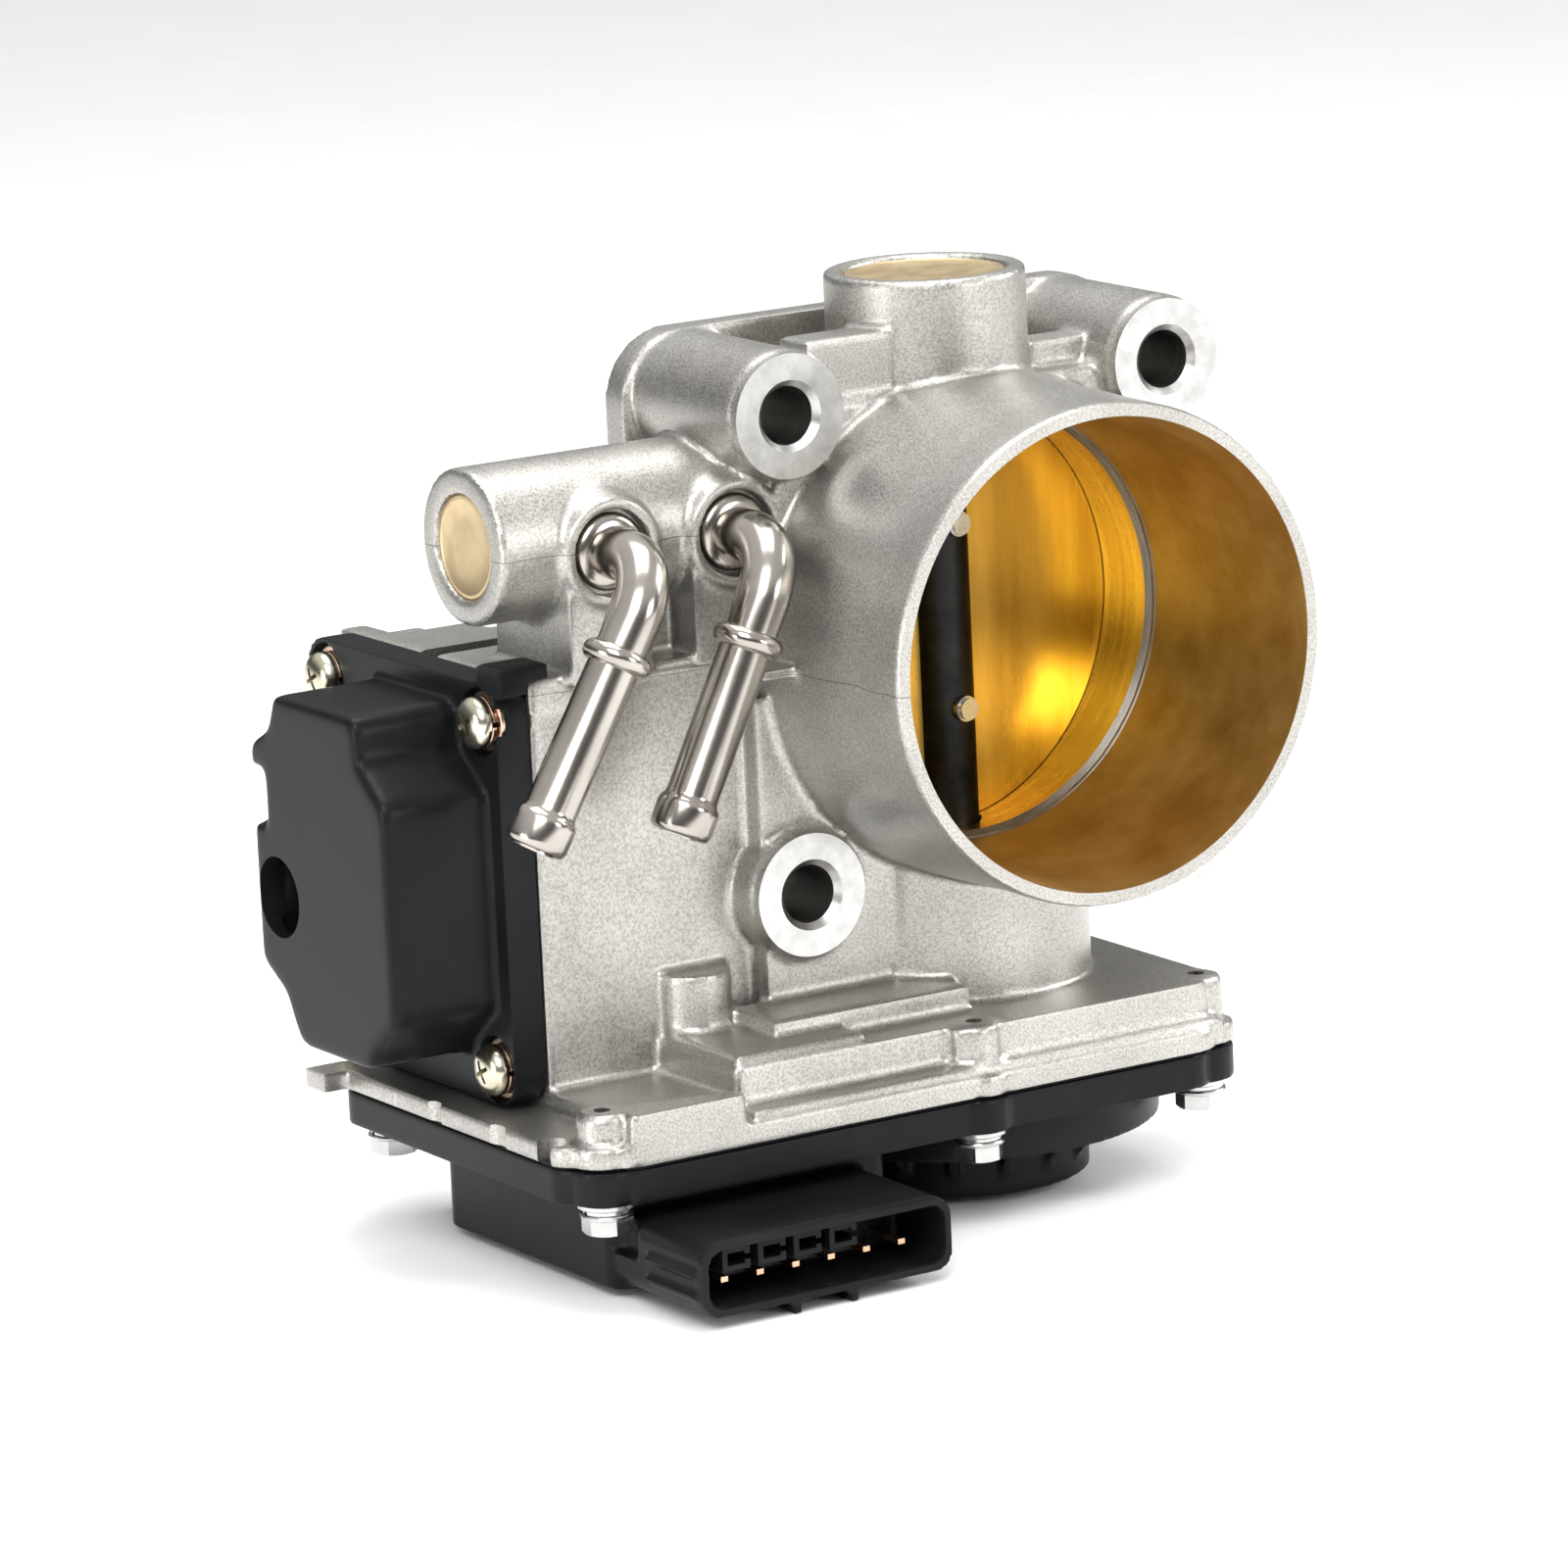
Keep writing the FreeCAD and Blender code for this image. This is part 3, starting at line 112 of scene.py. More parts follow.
def bump(tree, shader, layers):
    """Stacked bumps. layers: (height source, strength, distance in mm)."""
    last = None
    for source, strength, depth in layers:
        node = tree.nodes.new("ShaderNodeBump")
        node.inputs["Strength"].default_value = strength
        node.inputs["Distance"].default_value = depth * MM
        tree.links.new(source, node.inputs["Height"])
        if last:
            tree.links.new(last, node.inputs["Normal"])
        last = node.outputs["Normal"]
    tree.links.new(last, shader.inputs["Normal"])


def metal(name, dark, light, rough, scale=90.0, grain=260.0, grain_depth=0.02, streak=(1, 1, 1), bumps=0.5):
    """A metal with colour variation, uneven roughness and a fine grain."""
    mat, tree, shader = new_material(name)
    shader.inputs["Metallic"].default_value = 1.0
    patches = noise(tree, scale, 5.0, 0.6, streak)
    fine = noise(tree, grain * 10, 2.0, 0.5, streak)
    tree.links.new(ramp(tree, patches, [(0.3, dark), (0.7, light)]), shader.inputs["Base Color"])
    tree.links.new(remap(tree, patches, *rough), shader.inputs["Roughness"])
    bump(tree, shader, [(patches, 0.15, grain_depth * 3), (fine, bumps, grain_depth)])
    return mat


def calculate(tree, operation, first, second=None):
    """One step of arithmetic on values or numbers."""
    node = tree.nodes.new("ShaderNodeMath")
    node.operation = operation
    for socket, given in zip(node.inputs, (first, second)):
        if isinstance(given, (int, float)):
            socket.default_value = given
        elif given is not None:
            tree.links.new(given, socket)
    return node.outputs["Value"]


def parting_line(tree, height, edge):
    """1 on the wavering hairline where the two die halves met, left of an edge in X."""
    coords = tree.nodes.new("ShaderNodeTexCoord")
    split = tree.nodes.new("ShaderNodeSeparateXYZ")
    tree.links.new(coords.outputs["Object"], split.inputs["Vector"])
    waver = calculate(tree, "MULTIPLY", noise(tree, 120.0), 0.0012)
    away = calculate(tree, "SUBTRACT", calculate(tree, "SUBTRACT", split.outputs["Z"], height), waver)
    near = calculate(tree, "LESS_THAN", calculate(tree, "ABSOLUTE", away), 0.00009)
    left = calculate(tree, "LESS_THAN", split.outputs["X"], edge)
    return calculate(tree, "MULTIPLY", calculate(tree, "MULTIPLY", near, left), 0.75)


def blasted_aluminium():
    """Shot-blasted die casting: soft broad tone changes under a sparkling fine grain."""
    mat, tree, shader = new_material("cast_aluminium")
    shader.inputs["Metallic"].default_value = 0.92
    broad = noise(tree, 60.0, 5.0, 0.6)
    grain = noise(tree, 2600.0, 3.0, 0.7)
    coarse = noise(tree, 900.0, 4.0, 0.6)
    base = ramp(tree, broad, [(0.30, (0.43, 0.42, 0.395)), (0.75, (0.56, 0.55, 0.52))])
    speck = ramp(tree, grain, [(0.38, (0.50, 0.48, 0.45)), (0.60, (1.0, 1.0, 1.0))])
    mix = tree.nodes.new("ShaderNodeMix")
    mix.data_type = "RGBA"
    mix.blend_type = "MULTIPLY"
    mix.inputs["Factor"].default_value = 0.75
    tree.links.new(base, mix.inputs["A"])
    tree.links.new(speck, mix.inputs["B"])
    barrel, tube = parting_line(tree, 0.0195, -0.047), parting_line(tree, -0.0015, -0.024)
    line = calculate(tree, "MAXIMUM", barrel, tube)
    seam = tree.nodes.new("ShaderNodeMix")
    seam.data_type = "RGBA"
    tree.links.new(line, seam.inputs["Factor"])
    tree.links.new(mix.outputs["Result"], seam.inputs["A"])
    seam.inputs["B"].default_value = (0.16, 0.15, 0.14, 1)
    tree.links.new(seam.outputs["Result"], shader.inputs["Base Color"])
    tree.links.new(remap(tree, grain, 0.28, 0.50), shader.inputs["Roughness"])
    bump(tree, shader, [(broad, 0.20, 0.12), (coarse, 0.30, 0.05), (grain, 0.85, 0.05)])
    return mat


def plastic(name, dark, light, rough, grain_depth=0.015):
    """Moulded plastic with a faint texture and uneven shine."""
    mat, tree, shader = new_material(name)
    shader.inputs["Metallic"].default_value = 0.0
    shader.inputs["IOR"].default_value = 1.5
    shader.inputs["Specular IOR Level"].default_value = 0.13
    patches = noise(tree, 45.0, 5.0, 0.6)
    fine = noise(tree, 2600.0, 2.0, 0.6)
    tree.links.new(ramp(tree, patches, [(0.3, dark), (0.75, light)]), shader.inputs["Base Color"])
    tree.links.new(remap(tree, patches, *rough), shader.inputs["Roughness"])
    bump(tree, shader, [(patches, 0.15, 0.10), (fine, 0.4, grain_depth)])
    return mat


CAST = blasted_aluminium()
MACHINED = metal(
    "machined_aluminium", (0.42, 0.415, 0.405), (0.58, 0.575, 0.565), (0.24, 0.38), 420.0, 200.0, 0.012)
BORE = metal(
    "brushed_bore", (0.66, 0.43, 0.07), (0.96, 0.70, 0.19), (0.20, 0.34), 30.0, 60.0, 0.006, (1, 14, 1))
INLET = metal("inlet_wall", (0.36, 0.23, 0.07), (0.58, 0.42, 0.18), (0.38, 0.56), 90.0, 150.0, 0.035)
NICKEL = metal("nickel_pipe", (0.34, 0.31, 0.28), (0.48, 0.45, 0.41), (0.15, 0.25), 60.0, 120.0, 0.004)
BRASS = metal("cup_plug", (0.50, 0.38, 0.21), (0.62, 0.50, 0.31), (0.36, 0.50), 260.0, 160.0, 0.012)
STEEL = metal("bright_steel", (0.44, 0.44, 0.43), (0.60, 0.60, 0.59), (0.20, 0.34), 120.0, 150.0, 0.008)
ZINC = metal("zinc_screw", (0.50, 0.46, 0.34), (0.74, 0.71, 0.60), (0.16, 0.30), 260.0, 150.0, 0.008)
WASHER = metal("zinc_washer", (0.48, 0.30, 0.22), (0.66, 0.52, 0.40), (0.20, 0.34), 260.0, 150.0, 0.008)
COPPER = metal("copper_pin", (0.62, 0.34, 0.20), (0.86, 0.56, 0.38), (0.20, 0.34), 200.0, 150.0, 0.004)
DARK = metal("dark_steel", (0.012, 0.012, 0.012), (0.030, 0.030, 0.030), (0.32, 0.48), 150.0, 150.0, 0.01)
BLACK = plastic("black_plastic", (0.004, 0.0045, 0.005), (0.009, 0.010, 0.011), (0.30, 0.44))
# Dark grey metal with drilling streaks: painted shade for hole walls and the bore's shoulder step, not the
# metal's own colour.
HOLE_SHADE = metal(
    "drilled_hole_painted_shade", (0.16, 0.15, 0.14), (0.30, 0.29, 0.27), (0.30, 0.50), 200.0, 120.0, 0.02, (1, 20, 1))
GEAR = plastic("gear_plastic", (0.50, 0.48, 0.42), (0.60, 0.58, 0.52), (0.36, 0.50))
RUBBER = plastic("seal_rubber", (0.008, 0.008, 0.008), (0.016, 0.016, 0.016), (0.55, 0.70))
PLATE = metal(
    "throttle_plate", (0.52, 0.33, 0.06), (0.80, 0.56, 0.14), (0.22, 0.34), 20.0, 60.0, 0.003, (8, 1, 1), 0.2)

SLOT_MATERIAL = {
    "cast_aluminium": CAST, "plated_brass": BRASS, "nickel_pipe": NICKEL, "dark_steel": DARK,
    "plate_metal": PLATE, "bright_steel": STEEL, "seal_rubber": RUBBER, "gear_plastic": GEAR,
    "black_plastic": BLACK, "copper_pin": COPPER, "zinc_screw": ZINC,
}
for entry in frame["record"]["subparts"]:
    shown = frame["nodes"][entry["node"]]
    shown.data.materials.clear()
    shown.data.materials.append(SLOT_MATERIAL[entry["material_slot"]])

# ------------------------------------------------------------------ mesh helpers


def link(name, mesh, *materials):
    """A new object from a mesh, in millimetres brought to metres."""
    obj = bpy.data.objects.new(name, mesh)
    bpy.context.scene.collection.objects.link(obj)
    for material in materials:
        mesh.materials.append(material)
    return obj


def revolve(name, profile, spot, axis, material, segments=96, closed=False):
    """A turned piece: (radius, height) pairs in mm, spun about an axis from a spot in mm."""
    direction = Vector(axis).normalized()
    turn = direction.to_track_quat("Z", "Y").to_matrix().to_4x4()
    place = Matrix.Translation(Vector(spot) * MM) @ turn
    bm = bmesh.new()
    rings = []
    for radius, height in profile:
        if radius < 1e-6:
            rings.append([bm.verts.new(place @ Vector((0, 0, height * MM)))])
            continue
        rings.append([
            bm.verts.new(place @ Vector((
                radius * MM * math.cos(2 * math.pi * i / segments),
                radius * MM * math.sin(2 * math.pi * i / segments), height * MM)))
            for i in range(segments)
        ])
    pairs = list(zip(rings, rings[1:]))
    if closed:
        pairs.append((rings[-1], rings[0]))
    for low, high in pairs:
        for i in range(segments):
            j = (i + 1) % segments
            corners = [low[i % len(low)], low[j % len(low)], high[j % len(high)], high[i % len(high)]]
            corners = list(dict.fromkeys(corners))
            if len(corners) > 2:
                bm.faces.new(corners)
    bmesh.ops.recalc_face_normals(bm, faces=bm.faces)
    mesh = bpy.data.meshes.new(name)
    bm.to_mesh(mesh)
    bm.free()
    obj = link(name, mesh, material)
    smooth(obj, 32)
    return obj


def smooth(obj, angle):
    """Smooth shading with edges sharper than an angle kept crisp."""
    obj.data.shade_smooth()
    obj.data.set_sharp_from_angle(angle=math.radians(angle))


def apply_modifiers(obj):
    """Replace an object's mesh with its evaluated mesh."""
    depsgraph = bpy.context.evaluated_depsgraph_get()
    mesh = bpy.data.meshes.new_from_object(obj.evaluated_get(depsgraph))
    obj.modifiers.clear()
    old = obj.data
    obj.data = mesh
    bpy.data.meshes.remove(old)
    return obj


def boolean(obj, tool, operation):
    """Cut with, or join, a closed tool mesh, which is then removed."""
    modifier = obj.modifiers.new("cut", "BOOLEAN")
    modifier.operation = operation
    modifier.solver = "MANIFOLD"
    modifier.object = tool
    apply_modifiers(obj)
    bpy.data.objects.remove(tool)
    return obj


def rod(radius_start, radius_end, start, end, axis, segments=96):
    """A closed cone or cylinder between two positions along an axis through a spot."""
    spot, direction = axis
    profile = [(0, start), (radius_start, start), (radius_end, end), (0, end)]
    return revolve("tool", profile, spot, direction, CAST, segments)


def bar(low, high):
    """A closed box between two corners in mm."""
    mesh = bpy.data.meshes.new("bar")
    spots = [(x * MM, y * MM, z * MM) for x in (low[0], high[0]) for y in (low[1], high[1])
             for z in (low[2], high[2])]
    sides = [(0, 1, 3, 2), (4, 6, 7, 5), (0, 4, 5, 1), (2, 3, 7, 6), (0, 2, 6, 4), (1, 5, 7, 3)]
    mesh.from_pydata(spots, [], sides)
    return link("bar", mesh, BLACK)


def copy_node(name, new_name):
    """A copy of a CAD node's mesh, to be worked into a detailed piece."""
    source = frame["nodes"][name]
    obj = link(new_name, source.data.copy())
    bm = bmesh.new()
    bm.from_mesh(obj.data)
    bmesh.ops.remove_doubles(bm, verts=bm.verts, dist=1e-6)
    bm.to_mesh(obj.data)
    bm.free()
    return obj


def soften(obj, voxel, rounds):
    """Remesh to even voxels and round the edges over, as a casting or a moulding has them."""
    remesh = obj.modifiers.new("remesh", "REMESH")
    remesh.mode = "VOXEL"
    remesh.voxel_size = voxel * MM
    relax = obj.modifiers.new("relax", "SMOOTH")
    relax.factor = 0.5
    relax.iterations = rounds
    return apply_modifiers(obj)


Y_AXIS = lambda x, z: ((x, 0, z), (0, 1, 0))
Z_AXIS = lambda x, y: ((x, y, 0), (0, 0, 1))
X_AXIS = lambda y, z: ((0, y, z), (1, 0, 0))

# ------------------------------------------------------------------ housing

BOLTS = [(x, z) for x in (-34.29, 34.29) for z in (-36.78, 36.78)]
SHAFT_Y = -20.5
PAD_Y = -35.0
MOUTH_Y = -67.7
PIPE_XS = (-63.5, -41.8)
PIPE_HEIGHT = 19.5
PIPE_SEAT_Y = -28.2
TOP_PLUG_HEIGHT = 51.3
SIDE_PLUG_SPOT = (-79.4, -17.5, 21.0)
CASE_LOW = -66.8
# The last paint index marks faces painted dark as painted shade: hole walls and the bore's shoulder step.
CAST_PAINT, MACHINED_PAINT, BORE_PAINT, INLET_PAINT, HOLE_SHADE_PAINT = range(5)
CASE_SCREWS = [(-81.3, -49.0), (-16.5, -51.0), (26.6, -48.2), (-82.0, 13.7), (-22.0, 17.0), (5.0, 14.5),
               (26.5, 3.0)]


def housing():
    """The casting: rounded as cast, then machined where the real one is."""
    obj = copy_node("throttle_housing", "housing_casting")
    # cast detail on the gear case and the inlet tube
    boolean(obj, rod(38.97, 38.21, -34.5, -57.6, Y_AXIS(0, 0), 192), "UNION")
    for (x, y), top in zip(CASE_SCREWS, (-59.4, -56.5, -56.8)):
        lug = [(0, CASE_LOW), (4.1, CASE_LOW), (3.9, top - 0.7), (3.3, top), (0, top)]
        boolean(obj, revolve("lug", lug, (x, y, 0), (0, 0, 1), CAST), "UNION")
    # stock left on for machining
    boolean(obj, rod(34.5, 34.5, -34, 1.5, Y_AXIS(0, 0)), "UNION")
    boolean(obj, rod(37.2, 37.2, -69.2, -33, Y_AXIS(0, 0)), "UNION")
    for x, z in BOLTS:
        boolean(obj, rod(5.6, 5.6, -36.0, 1.4, Y_AXIS(x, z)), "UNION")
        boolean(obj, rod(9.53, 9.53, -36.6, -34, Y_AXIS(x, z)), "UNION")
    soften(obj, 0.6, 5)
    # scallops in the left edge of the gear case flange
    for x, y, reach in ((-91.6, -31.0, 3.6), (-90.6, -12.0, 2.6), (-87.2, -44.5, 2.6)):
        boolean(obj, rod(reach, reach, -67.9, -60, Z_AXIS(x, y), 32), "DIFFERENCE")
    # machining: the tapered inlet, its shoulder, the bore and the mouth's face
    boolean(obj, rod(36.12, 34.0, -70, -29.6, Y_AXIS(0, 0), 256), "DIFFERENCE")
    boolean(obj, rod(34.4, 33.0, -30.3, -28.7, Y_AXIS(0, 0), 256), "DIFFERENCE")
    boolean(obj, rod(33.0, 33.0, -29.5, 3, Y_AXIS(0, 0), 256), "DIFFERENCE")
    boolean(obj, rod(60, 60, -70, MOUTH_Y, Y_AXIS(0, 0)), "DIFFERENCE")
    # bolt pads and holes, and the mounting face
    for x, z in BOLTS:
        boolean(obj, rod(9.8, 9.8, -37.5, PAD_Y, Y_AXIS(x, z)), "DIFFERENCE")
        boolean(obj, rod(4.5, 4.5, -36, 3, Y_AXIS(x, z)), "DIFFERENCE")
        boolean(obj, rod(5.7, 4.5, -35.2, -34.0, Y_AXIS(x, z)), "DIFFERENCE")
    boolean(obj, rod(80, 80, 0, 5, Y_AXIS(0, 0)), "DIFFERENCE")
    # seats of the pipes and the cup plugs, and the shaft's hole
    for x in PIPE_XS:
        boolean(obj, rod(6.5, 6.5, -33, PIPE_SEAT_Y, Y_AXIS(x, PIPE_HEIGHT)), "DIFFERENCE")
    boolean(obj, rod(12.46, 12.46, TOP_PLUG_HEIGHT, 56, Z_AXIS(0, SHAFT_Y)), "DIFFERENCE")
    boolean(obj, rod(8.0, 8.0, -84, SIDE_PLUG_SPOT[0], X_AXIS(*SIDE_PLUG_SPOT[1:])), "DIFFERENCE")
    boolean(obj, rod(5.4, 5.4, -45, 45, Z_AXIS(0, SHAFT_Y)), "DIFFERENCE")
    for x, y in CASE_SCREWS:
        boolean(obj, rod(1.25, 1.25, -66, -54, Z_AXIS(x, y), 24), "DIFFERENCE")
    paint_housing(obj)
    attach(obj, "base")
    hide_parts("throttle_housing")


def paint_housing(obj):
    """Give machined faces and the bore their own materials by where they lie, and paint hole walls and the
    bore's shoulder step dark as painted shade.
    """
    mesh = obj.data
    mesh.materials.clear()
    for material in (CAST, MACHINED, BORE, INLET, HOLE_SHADE):
        mesh.materials.append(material)
    count = len(mesh.polygons)
    centre = np.empty(count * 3)
    normal = np.empty(count * 3)
    mesh.polygons.foreach_get("center", centre)
    mesh.polygons.foreach_get("normal", normal)
    centre = centre.reshape(-1, 3) / MM
    normal = normal.reshape(-1, 3)
    x, y, z = centre.T
    kind = np.full(count, CAST_PAINT, dtype=np.int32)
    from_bore = np.hypot(x, z)
    inward = (normal[:, 0] * x + normal[:, 2] * z) < 0
    kind[(np.abs(from_bore - 33.0) < 0.25) & inward & (y > -29)] = BORE_PAINT
    kind[(from_bore < 36.2) & inward & (y > -67.8) & (y < -29.5)] = INLET_PAINT
    # The shoulder step between inlet wall and bore is painted dark: painted shade along that edge.
    kind[(from_bore < 34.6) & (y > -30.4) & (y < -28.6) & (normal[:, 1] < -0.1)] = HOLE_SHADE_PAINT
    kind[np.abs(y) < 0.02] = MACHINED_PAINT
    for bolt_x, bolt_z in BOLTS:
        away = np.hypot(x - bolt_x, z - bolt_z)
        kind[(away < 9.7) & (np.abs(y - PAD_Y) < 0.02)] = MACHINED_PAINT
        kind[(away < 5.8) & (y > -35.1)] = MACHINED_PAINT
        # Bolt hole walls are painted dark: painted shade inside the holes.
        kind[(away < 4.6) & (y > -34.1) & (np.abs(y) > 0.1)] = HOLE_SHADE_PAINT
    for screw_x, screw_y in CASE_SCREWS:
        away = np.hypot(x - screw_x, y - screw_y)
        # Case screw hole walls are painted dark: painted shade inside the holes.
        kind[(away < 1.27) & (z > -66.1) & (z < -55)] = HOLE_SHADE_PAINT
    mesh.polygons.foreach_set("material_index", kind)
    smooth(obj, 34)


# ------------------------------------------------------------------ plastic covers


def round_over(obj, chosen, rounds):
    """Round the edges further over a chosen part of an evenly meshed piece."""
    group = obj.vertex_groups.new(name="round")
    group.add([v.index for v in obj.data.vertices if chosen(v.co / MM)], 1.0, "REPLACE")
    relax = obj.modifiers.new("relax", "SMOOTH")
    relax.factor = 0.5
    relax.iterations = rounds
    relax.vertex_group = "round"
    return apply_modifiers(obj)


def wedge(angle, near, far, top, low, half):
    """A gusset round the shaft's axis: full height near it, none far from it."""
    out = Vector((math.cos(angle), math.sin(angle), 0))
    side = Vector((-math.sin(angle), math.cos(angle), 0)) * half
    centre = Vector((0, SHAFT_Y, 0))
    corners = [(near, top), (far, top), (near, low)]
    spots = [
        (centre + out * r + side * sign + Vector((0, 0, z))) * MM
        for sign in (-1, 1) for r, z in corners
    ]
    mesh = bpy.data.meshes.new("wedge")
    mesh.from_pydata([tuple(spot) for spot in spots], [],
                     [(0, 1, 2), (3, 5, 4), (0, 3, 4, 1), (1, 4, 5, 2), (2, 5, 3, 0)])
    return link("wedge", mesh, BLACK)


def dress(obj, node_name, material):
    """Give a finished moulding its material and let it stand for its node."""
    obj.data.materials.clear()
    obj.data.materials.append(material)
    smooth(obj, 40)
    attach(obj, "base")
    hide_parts(node_name)


def side_cover():
    """The motor's cover: a deep bulge with well rounded edges and a crisp round hole."""
    obj = copy_node("motor_cover", "side_cover_moulding")
    boolean(obj, rod(6.5, 6.5, -101.5, -99.3, X_AXIS(10.1, -34)), "UNION")
    soften(obj, 0.5, 3)
    round_over(obj, lambda spot: spot.x < -86.5, 46)
    boolean(obj, rod(6.3, 6.3, -103, -97, X_AXIS(10.1, -34)), "DIFFERENCE")
    dress(obj, "motor_cover", BLACK)


def gear_cover():
    """The gear case's cover, with gussets under its rings, and the keys and ribs of its connector."""
    obj = copy_node("gear_case_cover", "gear_cover_moulding")
    for number in range(16):
        boolean(obj, wedge(math.pi / 8 * number + 0.15, 18.5, 25.5, -78.6, -87.2, 0.8), "UNION")
    for high in (-80.6, -83.9):
        boolean(obj, bar((-79.5, -69.5, high - 0.8), (-77.9, -56, high)), "UNION")
    soften(obj, 0.5, 3)
    for number in range(4):
        x = -71.8 + 6.22 * number
        boolean(obj, bar((x - 2.4, -69.6, -81.3), (x + 2.4, -58, -77.0)), "UNION")
        boolean(obj, bar((x - 1.5, -70.6, -80.5), (x + 1.5, -60, -78.6)), "DIFFERENCE")
        boolean(obj, bar((x + 0.4, -70.6, -80.0), (x + 3.0, -60, -79.1)), "DIFFERENCE")
    dress(obj, "gear_case_cover", BLACK)


# ------------------------------------------------------------------ pipes


def swept(name, path, section, material):
    """A tube along a path. path: points in mm; section: (distance along, radius) steps, in mm."""
    lengths = [0.0]
    for start, end in zip(path, path[1:]):
        lengths.append(lengths[-1] + (end - start).length)
    tangents = []
    for index in range(len(path)):
        before, after = path[max(index - 1, 0)], path[min(index + 1, len(path) - 1)]
        tangents.append((after - before).normalized())
    side = tangents[0].orthogonal().normalized()
    bm = bmesh.new()
    rings = []
    turns = 48
    for distance, radius in section:
        index = max(i for i, length in enumerate(lengths) if length <= distance + 1e-6)
        index = min(index, len(path) - 2)
        share = (distance - lengths[index]) / max(lengths[index + 1] - lengths[index], 1e-9)
        centre = path[index].lerp(path[index + 1], share)
        tangent = tangents[index].lerp(tangents[index + 1], share).normalized()
        side = (side - tangent * side.dot(tangent)).normalized()
        other = tangent.cross(side)
        rings.append([
            bm.verts.new((centre + radius * (side * math.cos(a) + other * math.sin(a))) * MM)
            for a in (2 * math.pi * i / turns for i in range(turns))
        ])
    for low, high in zip(rings, rings[1:]):
        for i in range(turns):
            j = (i + 1) % turns
            bm.faces.new([low[i], low[j], high[j], high[i]])
    for i in range(turns):
        j = (i + 1) % turns
        bm.faces.new([rings[-1][i], rings[-1][j], rings[0][j], rings[0][i]])
    bmesh.ops.recalc_face_normals(bm, faces=bm.faces)
    mesh = bpy.data.meshes.new(name)
    bm.to_mesh(mesh)
    bm.free()
    obj = link(name, mesh, material)
    smooth(obj, 40)
    return obj


def coolant_pipe(name, node, x, lean):
    """A coolant pipe: rolled collar in its recess, one bend, a rolled bead and a swaged end."""
    out, turn = Vector((0, -1, 0)), math.radians(lean)
    down = Vector((-math.sin(turn), 0, -math.cos(turn)))
    face = Vector((x, PIPE_SEAT_Y, PIPE_HEIGHT))
    corner = Vector((x, -43.5, PIPE_HEIGHT))
    bend = 9.0
    start = face + Vector((0, 8.5, 0))
    path = [start, face, corner - out * bend]
    centre = corner - out * bend + down * bend
    for step in range(1, 25):
        angle = math.pi / 2 * step / 24
        path.append(centre + bend * (out * math.sin(angle) - down * math.cos(angle)))
    path.append(corner + down * 46.0)
    arc_end = 8.5 + (corner - out * bend - face).length + math.pi / 2 * bend
    leg = arc_end - bend
    total = leg + 46.0

    def roll(middle, radius, height, half):
        return [
            (middle - half * math.cos(a), radius + height * math.sin(a))
            for a in (math.pi * i / 10 for i in range(11))
        ]

    section = [(0.0, 3.95), (7.9, 3.95)] + roll(9.6, 4.0, 1.95, 1.4)
    section += [(d, 4.0) for d in np.linspace(11.2, arc_end, 26)]
    section += roll(leg + 15.3, 4.0, 1.45, 1.6)
    section += [(total - 6.3, 4.0), (total - 5.7, 4.10), (total - 5.2, 4.45), (total - 4.8, 4.70),
                (total - 4.2, 4.78), (total - 1.3, 4.78), (total - 0.6, 4.62), (total - 0.15, 4.25),
                (total, 3.8), (total, 3.2)]
    section += [(total - 0.6, 2.95), (total - 20, 2.95), (20.0, 2.95), (0.0, 2.95)]
    obj = swept(name, path, section, NICKEL)
    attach(obj, "base")
    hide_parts(node)


# ------------------------------------------------------------------ fasteners


def join(name, pieces):
    """Several objects made into one."""
    with bpy.context.temp_override(active_object=pieces[0], selected_editable_objects=pieces):
        bpy.ops.object.join()
    pieces[0].name = name
    pieces[0].data.name = name
    return pieces[0]


def fit_piece(obj, node):
    """Ride with the base in place of a CAD node."""
    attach(obj, "base")
    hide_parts(node)


def spring_washer(spot, axis, inner, outer, thick):
    """A split spring washer: one turn, with a small step at the gap."""
    turn = Vector(axis).to_track_quat("Z", "Y").to_matrix().to_4x4()
    place = Matrix.Translation(Vector(spot) * MM) @ turn
    bm = bmesh.new()
    rings = []
    steps = 60
    for step in range(steps + 1):
        angle = math.radians(6) + math.radians(348) * step / steps
        lift = 0.16 * (step / steps - 0.5)
        corners = [(inner, 0.03), (outer - 0.1, 0.0), (outer, 0.12), (outer, thick - 0.12),
                   (outer - 0.1, thick), (inner, thick - 0.03)]
        rings.append([
            bm.verts.new(place @ Vector((
                r * MM * math.cos(angle), r * MM * math.sin(angle), (h + lift) * MM)))
            for r, h in corners
        ])
    for low, high in zip(rings, rings[1:]):
        for i in range(6):
            j = (i + 1) % 6
            bm.faces.new([low[i], low[j], high[j], high[i]])
    bm.faces.new(rings[0])
    bm.faces.new(rings[-1])
    bmesh.ops.recalc_face_normals(bm, faces=bm.faces)
    mesh = bpy.data.meshes.new("spring_washer")
    bm.to_mesh(mesh)
    bm.free()
    obj = link("spring_washer", mesh, WASHER)
    smooth(obj, 35)
    return obj


